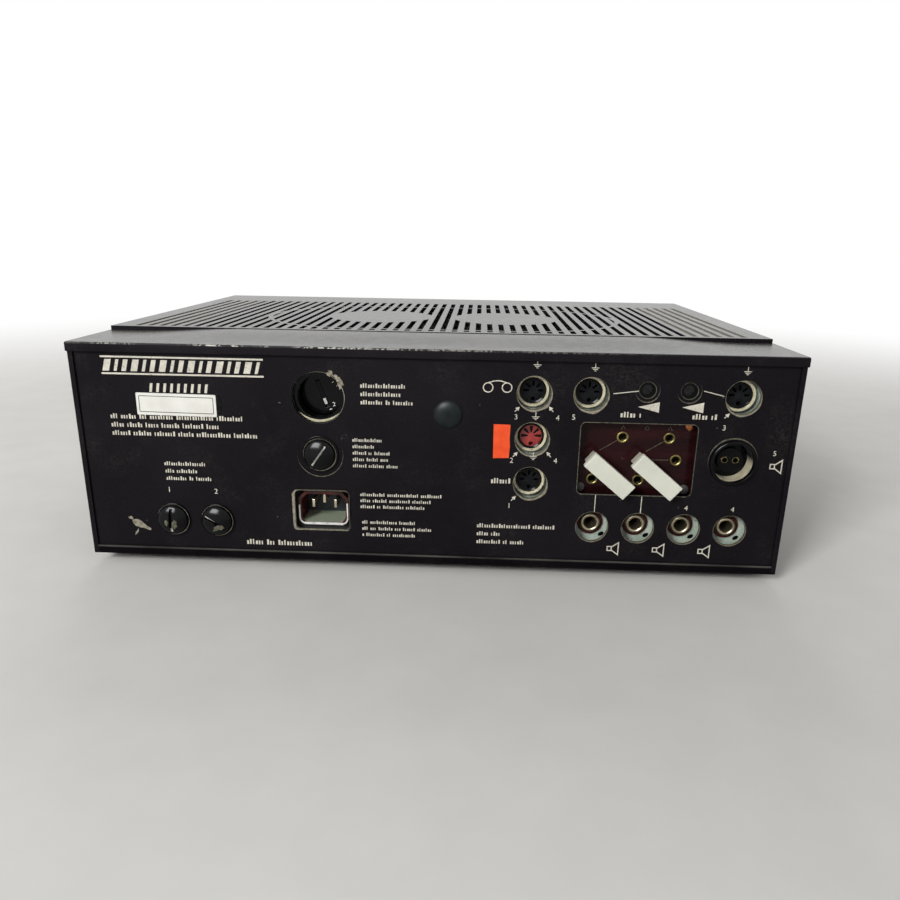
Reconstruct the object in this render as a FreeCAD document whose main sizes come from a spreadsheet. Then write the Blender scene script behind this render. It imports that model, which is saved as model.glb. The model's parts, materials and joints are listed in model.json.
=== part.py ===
import FreeCAD, Part

import os
import re

import Sketcher

# A tube power amplifier for the studio rack or table: a black sheet-metal case with a slotted vent
# grille on its lid, a rear panel of sockets, fuses, a voltage selector and two plug-in links, and a
# front of knobs and switches.  +Z is up, the knobs face -Y, the sockets face +Y, and the origin lies
# on the surface the feet stand on, in the middle of the whole.  Left and right are as seen from the
# front.  A "drop" is a distance below the top of the lid, a "rise" is one above the bottom of the
# tray, and an "inset" is one from the inner face of the nearer side wall.

SIZES = {
    # case
    "lid_width": 372,
    "lid_depth": 270,
    "case_height": 116.6,
    "sheet": 1.0,
    "lid_lip": 5.0,
    "tray_lip": 4.6,
    "wall_gauge": 2.5,
    "panel_gauge": 1.5,
    "chassis_gap": 8.0,
    "chassis_gauge": 1.2,
    "fascia_gauge": 3.0,
    "fascia_gap": 0.5,
    "fit_gap": 0.1,
    "run_gap": 0.3,
    "shaft_gap": 0.08,
    # feet and screws underneath
    "foot_height": 6,
    "foot_radius": 10,
    "foot_taper": 2,
    "foot_inset": 34,
    "foot_recess": 3,
    "head_radius": 3.4,
    "head_height": 2,
    "screw_radius": 1.9,
    "screw_length": 7,
    # vent grille and the lid's opening beneath it
    "grille_setback": 46.6,
    "grille_depth": 211,
    "grille_inset": 1.6,
    "grille_thickness": 2.4,
    "blind_slots": 5,
    "slot_pitch": 6.69,
    "slot_width": 3.1,
    "slot_side_margin": 10,
    "slot_rear_margin": 4,
    "slot_front_margin": 45,
    "ring_length": 226,
    "ring_depth": 130,
    "ring_band": 2.5,
    "ring_setback": 74,
    "disc_radius": 33.45,
    "disc_spacing": 80.28,
    # deck inside, on its posts
    "deck_height": 12,
    "post_radius": 4,
    "post_inset": 62,
    # rear panel: the column of mains fittings
    "mains_inset": 125,
    "selector_drop": 26.5,
    "selector_hole": 13.5,
    "notch_radius": 1.9,
    "notch_turn": 36,
    "mains_fuse_drop": 56.5,
    "inlet_rise": 28.5,
    "inlet_opening_width": 30.8,
    "inlet_opening_height": 24.2,
    "inlet_corner": 3,
    # rear panel: fuses in the corner and the blanking plug
    "corner_fuse_inset": 55.7,
    "corner_fuse_pitch": 24,
    "corner_fuse_rise": 21.3,
    "plug_x": -9.2,
    "plug_drop": 33.4,
    "plug_radius": 7.5,
    "plug_height": 2.8,
    "plug_round": 2.4,
    "plug_stem": 6.2,
    "plug_depth": 3,
    # rear panel: round sockets
    "socket_hole": 8.75,
    "socket_inset": 130,
    "socket_drop": 21.2,
    "socket_pitch": 24,
    "input_one_inset": 101.5,
    "input_two_inset": 26.1,
    "shell_flange": 8.4,
    "shell_bore": 6.65,
    "shell_barrel": 7.6,
    "shell_stand": 2.8,
    "shell_depth": 12,
    "insert_radius": 5.75,
    "insert_stand": 1.6,
    "insert_groove": 6,
    "insert_depth": 16,
    "pin_slot_count": 5,
    "pin_slot_step": 45,
    "pin_slot_width": 1.1,
    "pin_slot_inner": 2.4,
    "pin_slot_outer": 5.1,
    "pin_slot_depth": 5,
    "key_radius": 1.1,
    "key_offset": 4.3,
    # rear panel: trimmers
    "trimmer_one_inset": 73.6,
    "trimmer_two_inset": 52.9,
    "trimmer_drop": 18.4,
    "trimmer_hole": 4.1,
    "trimmer_radius": 2.6,
    "trimmer_depth": 5,
    "trimmer_sink": 0.6,
    "trimmer_slot_turn": 40,
    "trimmer_box": 15,
    "trimmer_box_depth": 11,
    # rear panel: jacks
    "jack_inset": 96.2,
    "jack_pitch": 24,
    "jack_count": 4,
    "jack_rise": 23.9,
    "jack_bore": 3.2,
    "jack_flange": 5.5,
    "jack_barrel": 4.7,
    "jack_length": 10,
    "washer_radius": 6.9,
    "washer_height": 0.8,
    "jack_body_width": 17,
    "jack_body_depth": 28,
    "jack_body_bore": 22,
    # rear panel: line socket
    "line_inset": 27.1,
    "line_drop": 55.2,
    "line_flange": 11.95,
    "line_bore": 10.2,
    "line_barrel": 10.9,
    "line_stand": 2,
    "line_depth": 8,
    "line_block_radius": 6.6,
    "line_block_height": 3.4,
    "line_pin_spacing": 5.5,
    "line_pin_hole": 1.3,
    # rear panel: terminal field, its board and the two links
    "field_inset": 75.9,
    "field_width": 58.8,
    "field_height": 38.3,
    "field_corner": 2.5,
    "board_width": 66,
    "board_height": 44,
    "board_gap_share": 0.291,
    "board_gauge": 1.6,
    "board_window_width": 49,
    "board_window_height": 31,
    "board_screw_x": 27.2,
    "board_screw_z": 17.2,
    "eyelet_flange": 3.1,
    "eyelet_barrel": 2.3,
    "eyelet_bore": 1.8,
    "eyelet_rim": 0.4,
    "eyelet_tail": 1.2,
    "eyelet_upper_x": 6.8,
    "eyelet_upper_rise": 10.3,
    "eyelet_lower_x": 21,
    "eyelet_lower_fall": 12.9,
    "eyelet_edge_x": 21.6,
    "eyelet_edge_fall": 1.5,
    "link_offset": 14,
    "link_fall": 7.55,
    "link_pitch": 24,
    "link_tilt": 40,
    "link_length": 27.5,
    "link_width": 9.2,
    "link_cap": 3.2,
    "link_stand_out": 6,
    "link_step": 1.2,
    "link_step_end": 3.4,
    "link_pin_reach": 7.5,
    "link_pin_radius": 1.5,
    "link_pin_length": 6,
    # fuses
    "fuse_radius": 2.6,
    "fuse_length": 20,
    "ferrule": 5,
    "fuse_bore": 7,
    "holder_barrel": 7.9,
    "holder_flange": 9.2,
    "mains_holder_flange": 10,
    "holder_rim": 1,
    "holder_bottom": 2,
    "holder_nut": 3,
    "holder_nut_radius": 10,
    "holder_clearance": 1,
    "cap_radius": 8.4,
    "cap_height": 5,
    "cap_round": 3.4,
    "cap_skirt": 12,
    "cap_socket": 5,
    "cap_slot_width": 1.6,
    "cap_slot_length": 14,
    "cap_slot_depth": 1.6,
    "mains_slot_turn": 125,
    "outer_slot_turn": 92,
    "inner_slot_turn": 30,
    # voltage selector
    "well_radius": 11.2,
    "well_depth": 14,
    "selector_ring": 12.5,
    "selector_rim_drop": 3,
    "selector_flange": 15.5,
    "selector_flange_gauge": 1.5,
    "selector_bottom": 2,
    "rotor_thickness": 2.7,
    "rotor_shaft": 3,
    "rotor_slot_width": 1.8,
    "rotor_slot_depth": 1.6,
    "rotor_slot_turn": 70,
    # mains inlet
    "inlet_width": 27.3,
    "inlet_height": 19.1,
    "inlet_chamfer": 4,
    "inlet_round": 4,
    "inlet_wall": 1.7,
    "inlet_sink": 3.5,
    "inlet_recess": 16,
    "inlet_depth": 27,
    "inlet_ear": 5,
    "inlet_ear_gauge": 1.5,
    "blade_thickness": 1.6,
    "blade_height": 4.6,
    "blade_length": 13,
    "blade_spread": 6,
    "blade_rise": 1.5,
    "middle_blade_rise": 4.2,
    # front: knobs, switches and pilot lamp
    "knob_row": 46,
    "knob_pitch": 44,
    "knob_gap": 0.6,
    "knob_height": 17,
    "knob_skirt_radius": 14.5,
    "knob_skirt": 3,
    "knob_radius": 11,
    "knob_draft": 0.8,
    "knob_dish_radius": 8,
    "knob_dish": 0.8,
    "knob_bore_depth": 12,
    "knob_mark_width": 1.2,
    "knob_mark_depth": 0.8,
    "pot_shaft": 3,
    "pot_bush": 4.6,
    "pot_bush_stand": 2,
    "pot_radius": 12,
    "pot_depth": 11,
    "pot_bore_depth": 6,
    "switch_inset": 26.5,
    "switch_bush": 5.6,
    "switch_bush_stand": 3,
    "switch_bore": 4.4,
    "switch_box": 15,
    "switch_box_height": 26,
    "switch_box_depth": 20,
    "lever_ball": 4,
    "lever_root": 2,
    "lever_tip": 3,
    "lever_length": 16,
    "lever_throw": 24,
    "lamp_rise": 30,
    "lamp_radius": 5.2,
    "lamp_stand": 4,
    "lamp_round": 3.5,
    "lamp_bezel": 7.2,
    "lamp_bezel_height": 1.6,
    "lamp_depth": 16,
    "fascia_screw_inset": 8,
    # inside: transformers
    "core_offset": 12.7,
    "mains_leg": 16,
    "mains_stack": 40,
    "output_leg": 13.5,
    "output_stack": 36,
    "coil_bulge": 14,
    "coil_gap": 0.5,
    # inside: output tubes lying on their bracket
    "tube_pitch": 46,
    "tube_rise": 46,
    "bracket_setback": 59,
    "bracket_width": 104,
    "bracket_height": 82,
    "bracket_gauge": 1.5,
    "bracket_foot": 12,
    "base_radius": 16.2,
    "base_length": 18,
    "bulb_radius": 15.8,
    "bulb_length": 62,
    "socket_body_radius": 14.6,
    "socket_body_depth": 12,
    "socket_flange_radius": 18,
    "socket_flange_gauge": 2,
    # inside: filter capacitors
    "can_radius": 17,
    "can_height": 78,
    "can_pitch": 40,
    "can_gap": 2,
    "can_count": 3,
    "can_round": 2,
    # inside: preamplifier board
    "card_width": 190,
    "card_depth": 52,
    "card_gauge": 1.6,
    "card_inset": 17.5,
    "card_setback": 46,
    "card_rise": 8,
    "card_edge": 3,
    "pillar_radius": 3,
    "pillar_inset": 6,
    "preamp_count": 4,
    "preamp_pitch": 44,
    "preamp_setback": 8,
    "preamp_socket_radius": 10.8,
    "preamp_socket_height": 8,
    "preamp_radius": 10.6,
    "preamp_length": 42,
    "capacitor_count": 8,
    "capacitor_width": 7,
    "capacitor_depth": 16,
    "capacitor_height": 10,
    "capacitor_pitch": 22,
    "resistor_count": 14,
    "resistor_radius": 1.7,
    "resistor_length": 9,
    "resistor_pitch": 12.5,
}

# Places follow from the sizes.
PLACES = {
    "lid_top": "foot_height + case_height",
    "lid_under": "lid_top - sheet",
    "tray_top": "foot_height + sheet",
    "knob_reach": "fascia_gauge - 2 * sheet + knob_gap + knob_height",
    "link_reach": "link_stand_out - 2 * sheet",
    "rear_edge": "lid_depth / 2 + (knob_reach - link_reach) / 2",
    "front_edge": "rear_edge - lid_depth",
    "middle_y": "(rear_edge + front_edge) / 2",
    "wall_out": "lid_width / 2 - sheet",
    "wall_in": "wall_out - wall_gauge",
    "panel_face": "rear_edge - 2 * sheet",
    "panel_back": "panel_face - panel_gauge",
    "chassis_face": "panel_face - chassis_gap",
    "chassis_back": "chassis_face - chassis_gauge",
    "front_wall_face": "front_edge + 2 * sheet",
    "front_wall_back": "front_wall_face + panel_gauge",
    "fascia_face": "front_wall_face - fascia_gauge",
    "fascia_low": "foot_height + tray_lip + fascia_gap",
    "fascia_high": "lid_top - lid_lip - fascia_gap",
    "deck_top": "foot_height + deck_height",
    "deck_under": "deck_top - chassis_gauge",
    "half_slots": "floor((lid_width / 2 - grille_inset - slot_side_margin) / slot_pitch)",
    "slot_count": "2 * half_slots",
    "grille_rear": "rear_edge - grille_setback",
    "grille_front": "grille_rear - grille_depth",
    "slot_rear": "grille_rear - slot_rear_margin",
    "slot_front": "grille_front + slot_front_margin",
    "opening_half": "(half_slots - blind_slots) * slot_pitch",
    "ring_y": "grille_rear - ring_setback",
    "mains_x": "wall_in - mains_inset",
    "corner_fuse_x": "wall_in - corner_fuse_inset",
    "socket_x": "socket_inset - wall_in",
    "input_one_x": "input_one_inset - wall_in",
    "input_two_x": "input_two_inset - wall_in",
    "trimmer_one_x": "trimmer_one_inset - wall_in",
    "trimmer_two_x": "trimmer_two_inset - wall_in",
    "jack_x": "jack_inset - wall_in",
    "line_x": "line_inset - wall_in",
    "field_x": "field_inset - wall_in",
    "link_x": "field_x + link_offset",
    "switch_x": "wall_in - switch_inset",
    "inlet_drop": "case_height - inlet_rise",
    "corner_fuse_drop": "case_height - corner_fuse_rise",
    "jack_drop": "case_height - jack_rise",
    "board_room": "jack_drop - washer_radius - socket_drop - shell_flange - board_height",
    "board_drop": "socket_drop + shell_flange + board_gap_share * board_room",
    "field_drop": "board_drop + board_height / 2",
    "link_drop": "field_drop + link_fall",
    "board_front": "chassis_face + board_gauge",
    "eyelet_front": "board_front + eyelet_rim",
    "holder_depth": "cap_skirt - cap_socket + fuse_length + 2 * run_gap + holder_bottom",
    "base_depth": "well_depth + selector_bottom",
    "knob_z": "foot_height + knob_row",
    "bay_room": "2 * (wall_in - 3 * mains_leg - can_radius - 3 * output_leg) - bracket_width",
    "bay_gap": "bay_room / 5",
    "mains_core_x": "wall_in - bay_gap - 3 * mains_leg",
    "can_x": "mains_core_x - 3 * mains_leg - bay_gap - can_radius",
    "bracket_x": "can_x - can_radius - bay_gap - bracket_width / 2",
    "output_core_x": "bay_gap + 3 * output_leg - wall_in",
    "core_y": "middle_y + core_offset",
    "bracket_y": "chassis_back - bracket_setback",
    "tube_x": "bracket_x + tube_pitch / 2",
    "card_x": "card_inset + card_width / 2 - wall_in",
    "card_y": "front_wall_back + card_setback",
    "can_y": "card_y + card_depth / 2 + can_gap + can_radius + (can_count - 1) / 2 * can_pitch",
    "card_under": "deck_top + card_rise",
    "card_top": "card_under + card_gauge",
}

X_AXIS = FreeCAD.Vector(1, 0, 0)
Y_AXIS = FreeCAD.Vector(0, 1, 0)
FACINGS = {
    "up": FreeCAD.Rotation(),
    "down": FreeCAD.Rotation(X_AXIS, 180),
    "rear": FreeCAD.Rotation(X_AXIS, -90),
    "front": FreeCAD.Rotation(X_AXIS, 90),
    "right": FreeCAD.Rotation(Y_AXIS, 90),
}

doc = FreeCAD.newDocument("TubeAmplifier")
nodes = []


# ---------------------------------------------------------------- sheets and bindings


def fill_sheet(title, cells):
    """A spreadsheet with a name in column A and its value, aliased to that name, in column B."""
    sheet = doc.addObject("Spreadsheet::Sheet", title)
    for row, (alias, value) in enumerate(cells.items(), start=1):
        sheet.set(f"A{row}", alias)
        sheet.set(f"B{row}", str(value) if title == "Sizes" else "=" + formula(value))
        sheet.setAlias(f"B{row}", alias)
    doc.recompute()
    return sheet


def formula(text):
    """An expression in which each size's and place's name is given its sheet."""

    def owner(match):
        word = match.group(0)
        if word in SIZES:
            return "Sizes." + word
        if word in PLACES:
            return "Places." + word
        return word

    return re.sub(r"[a-z]+(?:_[a-z]+)*", owner, str(text))


def bind(thing, prop, text):
    thing.setExpression(prop, formula(text))


def settle(thing, at=("0", "0", "0"), facing="up"):
    """Gives a piece its Placement: a fixed facing and a bound position."""
    thing.Placement = FreeCAD.Placement(FreeCAD.Vector(), FACINGS[facing])
    for axis, text in zip("xyz", at):
        bind(thing, f"Placement.Base.{axis}", text)
    return thing


def turned_to(thing, at, angle, axis=-Y_AXIS):
    """Settles a piece turned by a bound angle about an axis."""
    thing.Placement = FreeCAD.Placement(FreeCAD.Vector(), FreeCAD.Rotation(axis, 1))
    bind(thing, "Placement.Rotation.Angle", angle)
    for axis, text in zip("xyz", at):
        bind(thing, f"Placement.Base.{axis}", text)
    return thing


# ---------------------------------------------------------------- solids


def block(name, x, y, z):
    """A box between two bound ends along each axis."""
    solid = doc.addObject("Part::Box", name)
    for prop, (low, high) in zip(("Length", "Width", "Height"), (x, y, z)):
        bind(solid, prop, f"({high}) - ({low})")
    return settle(solid, (x[0], y[0], z[0]))


def slab(name, centre, width, y, height):
    """A box centred on a point of the XZ plane and running between two ends along Y."""
    cx, cz = centre
    x = (f"({cx}) - ({width}) / 2", f"({cx}) + ({width}) / 2")
    z = (f"({cz}) - ({height}) / 2", f"({cz}) + ({height}) / 2")
    return block(name, x, y, z)


def rod(name, radius, at, length, facing="up"):
    solid = doc.addObject("Part::Cylinder", name)
    bind(solid, "Radius", radius)
    bind(solid, "Height", length)
    return settle(solid, at, facing)


def ball(name, radius, at):
    solid = doc.addObject("Part::Sphere", name)
    bind(solid, "Radius", radius)
    return settle(solid, at)


def cone(name, low_radius, high_radius, at, length, facing="up"):
    solid = doc.addObject("Part::Cone", name)
    bind(solid, "Radius1", low_radius)
    bind(solid, "Radius2", high_radius)
    bind(solid, "Height", length)
    return settle(solid, at, facing)


def fuse(name, *pieces):
    solid = doc.addObject("Part::MultiFuse", name)
    solid.Shapes = list(pieces)
    solid.Refine = True
    return solid


def cut(name, base, *tools):
    solid = doc.addObject("Part::Cut", name)
    solid.Base = base
    solid.Tool = tools[0] if len(tools) == 1 else fuse(name + "_tools", *tools)
    solid.Refine = True
    return solid


def group(name, pieces):
    """Separate solids that share one node."""
    together = doc.addObject("Part::Compound", name)
    together.Links = list(pieces)
    return together


def node(name, thing):
    """Marks a finished sub-part, whose Label is its node's name."""
    thing.Label = name
    nodes.append(thing)
    return thing


# ---------------------------------------------------------------- sketched bodies


def new_body(name):
    return doc.addObject("PartDesign::Body", name + "_body")


def outline(body, name, plane, points):
    """A closed sketch through bound points on one of the body's own origin planes."""
    sketch = body.newObject("Sketcher::SketchObject", name)
    role = next(f for f in body.Origin.OriginFeatures if f.Role == plane)
    sketch.AttachmentSupport = [(role, "")]
    sketch.MapMode = "FlatFace"
    texts = [tuple(formula(t) for t in point) for point in points]
    corners = [FreeCAD.Vector(*[number(sketch, t) for t in point], 0) for point in texts]
    count = len(corners)
    for i in range(count):
        sketch.addGeometry(Part.LineSegment(corners[i], corners[(i + 1) % count]), False)
    for i in range(count):
        sketch.addConstraint(Sketcher.Constraint("Coincident", i, 2, (i + 1) % count, 1))
    for i, (corner, (across, along)) in enumerate(zip(corners, texts)):
        for kind, text, value in (("DistanceX", across, corner.x), ("DistanceY", along, corner.y)):
            index = sketch.addConstraint(Sketcher.Constraint(kind, -1, 1, i, 1, value))
            sketch.setExpression(f"Constraints[{index}]", text)
    return sketch


def number(thing, text):
    """What a bound expression is worth now."""
    value = thing.evalExpression(text)
    return float(getattr(value, "Value", value))


def turned(name, profile, at=("0", "0", "0"), facing="up"):
    """A body of revolution: the profile's points are a radius and a height along the axis."""
    body = new_body(name)
    sketch = outline(body, name + "_profile", "XZ_Plane", profile)
    turn = body.newObject("PartDesign::Revolution", name + "_turn")
    turn.Profile = sketch
    turn.ReferenceAxis = (sketch, ["V_Axis"])
    turn.Angle = 360
    doc.recompute()
    return settle(body, at, facing)


def rounded_rim(body, radius, ring_radius, height):
    """Rounds the body's circular edge that has this radius and height in its own frame."""
    rim = number(body, formula(ring_radius))
    level = number(body, formula(height))
    names = []
    for index, edge in enumerate(body.Tip.Shape.Edges, start=1):
        is_circle = edge.Curve.TypeId == "Part::GeomCircle"
        if is_circle and abs(edge.Curve.Radius - rim) < 1e-4:
            if abs(edge.Curve.Center.z - level) < 1e-4:
                names.append(f"Edge{index}")
    return dressed(body, "PartDesign::Fillet", names, "Radius", radius)


def dressed(body, kind, edges, prop, size):
    """Adds a fillet or chamfer with a bound size to edges of the body's tip."""
    solid = body.Tip
    feature = body.newObject(kind, body.Name + "_dress")
    feature.Base = (solid, edges)
    bind(feature, prop, size)
    body.Tip = feature
    doc.recompute()
    return body


def rounded_bar(name, centre, width, y, height, round_size, chamfer=None):
    """A bar along Y with rounded long edges, the upper two of them chamfered if asked."""
    body = new_body(name)
    half_x = f"({width}) / 2"
    half_z = f"({height}) / 2"
    corners = [
        (f"-({half_x})", f"-({half_z})"),
        (half_x, f"-({half_z})"),
        (half_x, half_z),
        (f"-({half_x})", half_z),
    ]
    sketch = outline(body, name + "_section", "XZ_Plane", corners)
    pad = body.newObject("PartDesign::Pad", name + "_pad")
    pad.Profile = sketch
    bind(pad, "Length", f"({y[1]}) - ({y[0]})")
    pad.Reversed = True
    doc.recompute()
    lower = long_edges(pad.Shape, upper=False)
    if chamfer:
        dressed(body, "PartDesign::Fillet", lower, "Radius", round_size)
        dressed(body, "PartDesign::Chamfer", long_edges(body.Tip.Shape, upper=True), "Size", chamfer)
    else:
        lower += long_edges(pad.Shape, upper=True)
        dressed(body, "PartDesign::Fillet", lower, "Radius", round_size)
    return settle(body, (centre[0], y[0], centre[1]))


def long_edges(shape, upper):
    """Names of the edges that run along Y in the upper or the lower half of a bar."""
    names = []
    for index, edge in enumerate(shape.Edges, start=1):
        start = edge.Vertexes[0].Point
        end = edge.Vertexes[-1].Point
        if abs(end.y - start.y) > 1e-6 and (start.z > 0) == upper:
            names.append(f"Edge{index}")
    return names


# ---------------------------------------------------------------- case


def drop(distance):
    """The height of what lies a stated distance below the top of the lid."""
    return f"lid_top - ({distance})"


def make_case():
    lid_skin = block(
        "lid_skin",
        ("-lid_width / 2", "lid_width / 2"),
        ("front_edge", "rear_edge"),
        ("lid_top - lid_lip", "lid_top"),
    )
    lid_hollow = block(
        "lid_hollow",
        ("-wall_out", "wall_out"),
        ("front_edge + sheet", "rear_edge - sheet"),
        ("lid_top - 2 * lid_lip", "lid_under"),
    )
    lid_opening = block(
        "lid_opening",
        ("-opening_half", "opening_half"),
        ("slot_front", "slot_rear"),
        ("lid_under - lid_lip", "lid_top + sheet"),
    )
    node("lid", cut("lid", lid_skin, lid_hollow, lid_opening))

    inner_x = ("-wall_in", "wall_in")
    tray_plate = block(
        "tray_plate",
        ("-wall_out", "wall_out"),
        ("front_edge + sheet", "rear_edge - sheet"),
        ("foot_height", "tray_top"),
    )
    lip_z = ("foot_height", "foot_height + tray_lip")
    rear_lip = block("rear_lip", inner_x, ("panel_face", "rear_edge - sheet"), lip_z)
    front_lip = block("front_lip", inner_x, ("front_edge + sheet", "front_wall_face"), lip_z)
    holes = [
        rod("tray_hole", "screw_radius + fit_gap", (x, y, "0"), "tray_lip + foot_height")
        for x, y in post_places() + foot_places()
    ]
    tray = fuse("tray", tray_plate, rear_lip, front_lip)
    node("bottom_tray", cut("bottom_tray", tray, *holes))

    for name, low, high in (
        ("left_side_wall", "-wall_out", "-wall_in"),
        ("right_side_wall", "wall_in", "wall_out"),
    ):
        y = ("front_edge + sheet", "rear_edge - sheet")
        node(name, block(name, (low, high), y, ("tray_top", "lid_under")))


def foot_places():
    inset_x = "wall_out - foot_inset"
    inset_y = "lid_depth / 2 - foot_inset"
    return [
        (f"({sx}) * ({inset_x})", f"middle_y + ({sy}) * ({inset_y})")
        for sx in (-1, 1)
        for sy in (-1, 1)
    ]


def post_places():
    inset_x = "wall_in - post_inset"
    rows = ("chassis_back - post_inset", "front_wall_back + post_inset")
    return [(f"({sx}) * ({inset_x})", y) for sx in (-1, 0, 1) for y in rows]


def make_feet_and_fasteners():
    feet = []
    screws = []
    for x, y in foot_places():
        profile = [
            ("screw_radius + fit_gap", "foot_height"),
            ("foot_radius", "foot_height"),
            ("foot_radius - foot_taper", "0"),
            ("head_radius + run_gap", "0"),
            ("head_radius + run_gap", "foot_recess"),
            ("screw_radius + fit_gap", "foot_recess"),
        ]
        feet.append(turned("foot", profile, (x, y, "0")))
        screws.append(pan_screw((x, y, "foot_recess"), "down"))
    for x, y in post_places():
        screws.append(pan_screw((x, y, "foot_height"), "down"))
    for x, z in fascia_screw_places():
        screws.append(rod("fascia_screw", "head_radius", (x, "fascia_face", z), "head_height", "rear"))
    for x, z in board_screw_places():
        head = ("board_front", "board_front + head_height / 2")
        screws.append(rod("board_screw", "head_radius - 1", (x, head[0], z), "head_height / 2", "rear"))
    node("rubber_feet", group("rubber_feet", feet))
    node("fasteners", group("fasteners", screws))


def pan_screw(at, facing):
    """A pan-head screw whose head lies on the far side of the face it stands on."""
    profile = [
        ("0", "head_height"),
        ("head_radius", "head_height"),
        ("head_radius", "0"),
        ("screw_radius", "0"),
        ("screw_radius", "-screw_length"),
        ("0", "-screw_length"),
    ]
    return turned("pan_screw", profile, at, facing)


def fascia_screw_places():
    x = "wall_in - fascia_screw_inset"
    rows = ("fascia_low + fascia_screw_inset", "fascia_high - fascia_screw_inset")
    return [(f"({sx}) * ({x})", z) for sx in (-1, 1) for z in rows]


def board_screw_places():
    """One rivet and two screws hold the terminal board, in three of its field's corners."""
    corners = ((-1, 1), (1, -1), (-1, -1))
    return [
        (f"field_x + ({sx}) * board_screw_x", drop(f"field_drop - ({sz}) * board_screw_z"))
        for sx, sz in corners
    ]


def make_grille():
    """The slotted plate: one slot is cut and repeated across, then the ring and discs close some."""
    body = new_body("grille")
    half = "(lid_width / 2 - grille_inset)"
    corners = [
        (f"-{half}", "grille_front"),
        (half, "grille_front"),
        (half, "grille_rear"),
        (f"-{half}", "grille_rear"),
    ]
    sheet_sketch = outline(body, "grille_outline", "XY_Plane", corners)
    plate = body.newObject("PartDesign::Pad", "grille_pad")
    plate.Profile = sheet_sketch
    bind(plate, "Length", "grille_thickness")
    doc.recompute()
    left = "-(slot_count - 1) * slot_pitch / 2 - slot_width / 2"
    right = "-(slot_count - 1) * slot_pitch / 2 + slot_width / 2"
    corners = [(left, "slot_front"), (right, "slot_front"), (right, "slot_rear"), (left, "slot_rear")]
    slot_sketch = outline(body, "slot_outline", "XY_Plane", corners)
    slot = body.newObject("PartDesign::Pocket", "slot")
    slot.Profile = slot_sketch
    slot.Type = "ThroughAll"
    slot.Reversed = True
    doc.recompute()
    slots = body.newObject("PartDesign::LinearPattern", "slots")
    slots.Originals = [slot]
    slots.Direction = (slot_sketch, ["H_Axis"])
    bind(slots, "Length", "(slot_count - 1) * slot_pitch")
    bind(slots, "Occurrences", "slot_count")
    body.Tip = slots
    doc.recompute()
    settle(body, ("0", "0", "lid_top"))
    z = ("lid_top", "lid_top + grille_thickness")
    ring = cut("ring", stadium("ring_out", "0", z), stadium("ring_in", "ring_band", z))
    discs = [
        rod("disc", "disc_radius", (f"({side}) * disc_spacing / 2", "ring_y", z[0]), "grille_thickness")
        for side in (-1, 1)
    ]
    node("vent_grille", fuse("vent_grille", body, ring, *discs))


def stadium(name, inset, z):
    """A flat slab with two parallel sides and two half-round ends, shrunk by an inset."""
    radius = f"ring_depth / 2 - {inset}"
    reach = "(ring_length - ring_depth) / 2"
    y = (f"ring_y - ({radius})", f"ring_y + ({radius})")
    middle = block(name + "_middle", (f"-{reach}", reach), y, z)
    ends = [
        rod(name + "_end", radius, (f"({side}) * {reach}", "ring_y", z[0]), f"({z[1]}) - ({z[0]})")
        for side in (-1, 1)
    ]
    return fuse(name, middle, *ends)


# ---------------------------------------------------------------- panels and walls


def socket_places():
    """Centres of the five round sockets: a column of three, then the two inputs."""
    column = [("socket_x", drop(f"socket_drop + {i} * socket_pitch")) for i in range(3)]
    return column + [(x, drop("socket_drop")) for x in ("input_one_x", "input_two_x")]


def jack_places():
    """The row's jacks, counted away from the first."""
    return [(f"jack_x - {i} * jack_pitch", drop("jack_drop")) for i in range(SIZES["jack_count"])]


def fuse_places():
    """Name, place and flange of the three fuse holders."""
    half = "corner_fuse_pitch / 2"
    low = drop("corner_fuse_drop")
    return {
        "mains": ("mains_x", drop("mains_fuse_drop"), "mains_holder_flange", "mains_slot_turn"),
        "outer": (f"corner_fuse_x + {half}", low, "holder_flange", "outer_slot_turn"),
        "inner": (f"corner_fuse_x - {half}", low, "holder_flange", "inner_slot_turn"),
    }


def trimmer_places():
    return {"one": "trimmer_one_x", "two": "trimmer_two_x"}


def through(name, radius, x, z, y):
    """A round tool that passes a wall between two ends along Y, and a little past both."""
    start = f"({y[0]}) - sheet"
    return rod(name, radius, (x, start, z), f"({y[1]}) - ({y[0]}) + 2 * sheet", "rear")


def make_rear_panel():
    y = ("panel_back", "panel_face")
    past = ("panel_back - sheet", "panel_face + sheet")
    skin = block("panel_skin", ("-wall_in", "wall_in"), y, ("tray_top", "lid_under"))
    inlet_centre = ("mains_x", drop("inlet_drop"))
    field_centre = ("field_x", drop("field_drop"))
    notch_x = "mains_x - selector_hole * sin(notch_turn)"
    notch_z = drop("selector_drop - selector_hole * cos(notch_turn)")
    tools = [
        through("selector_opening", "selector_hole", "mains_x", drop("selector_drop"), y),
        through("notch", "notch_radius", notch_x, notch_z, y),
        through("plug_opening", "plug_stem + fit_gap", "plug_x", drop("plug_drop"), y),
        through("line_opening", "line_barrel + fit_gap", "line_x", drop("line_drop"), y),
        rounded_bar(
            "inlet_opening",
            inlet_centre,
            "inlet_opening_width",
            past,
            "inlet_opening_height",
            "inlet_corner",
        ),
        rounded_bar("field", field_centre, "field_width", past, "field_height", "field_corner"),
    ]
    for x, z, flange, turn in fuse_places().values():
        tools.append(through("fuse_opening", "holder_barrel + fit_gap", x, z, y))
    for x, z in socket_places() + jack_places():
        tools.append(through("socket_opening", "socket_hole", x, z, y))
    for x in trimmer_places().values():
        tools.append(through("trimmer_opening", "trimmer_hole", x, drop("trimmer_drop"), y))
    node("rear_panel", cut("rear_panel", skin, *tools))


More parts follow.
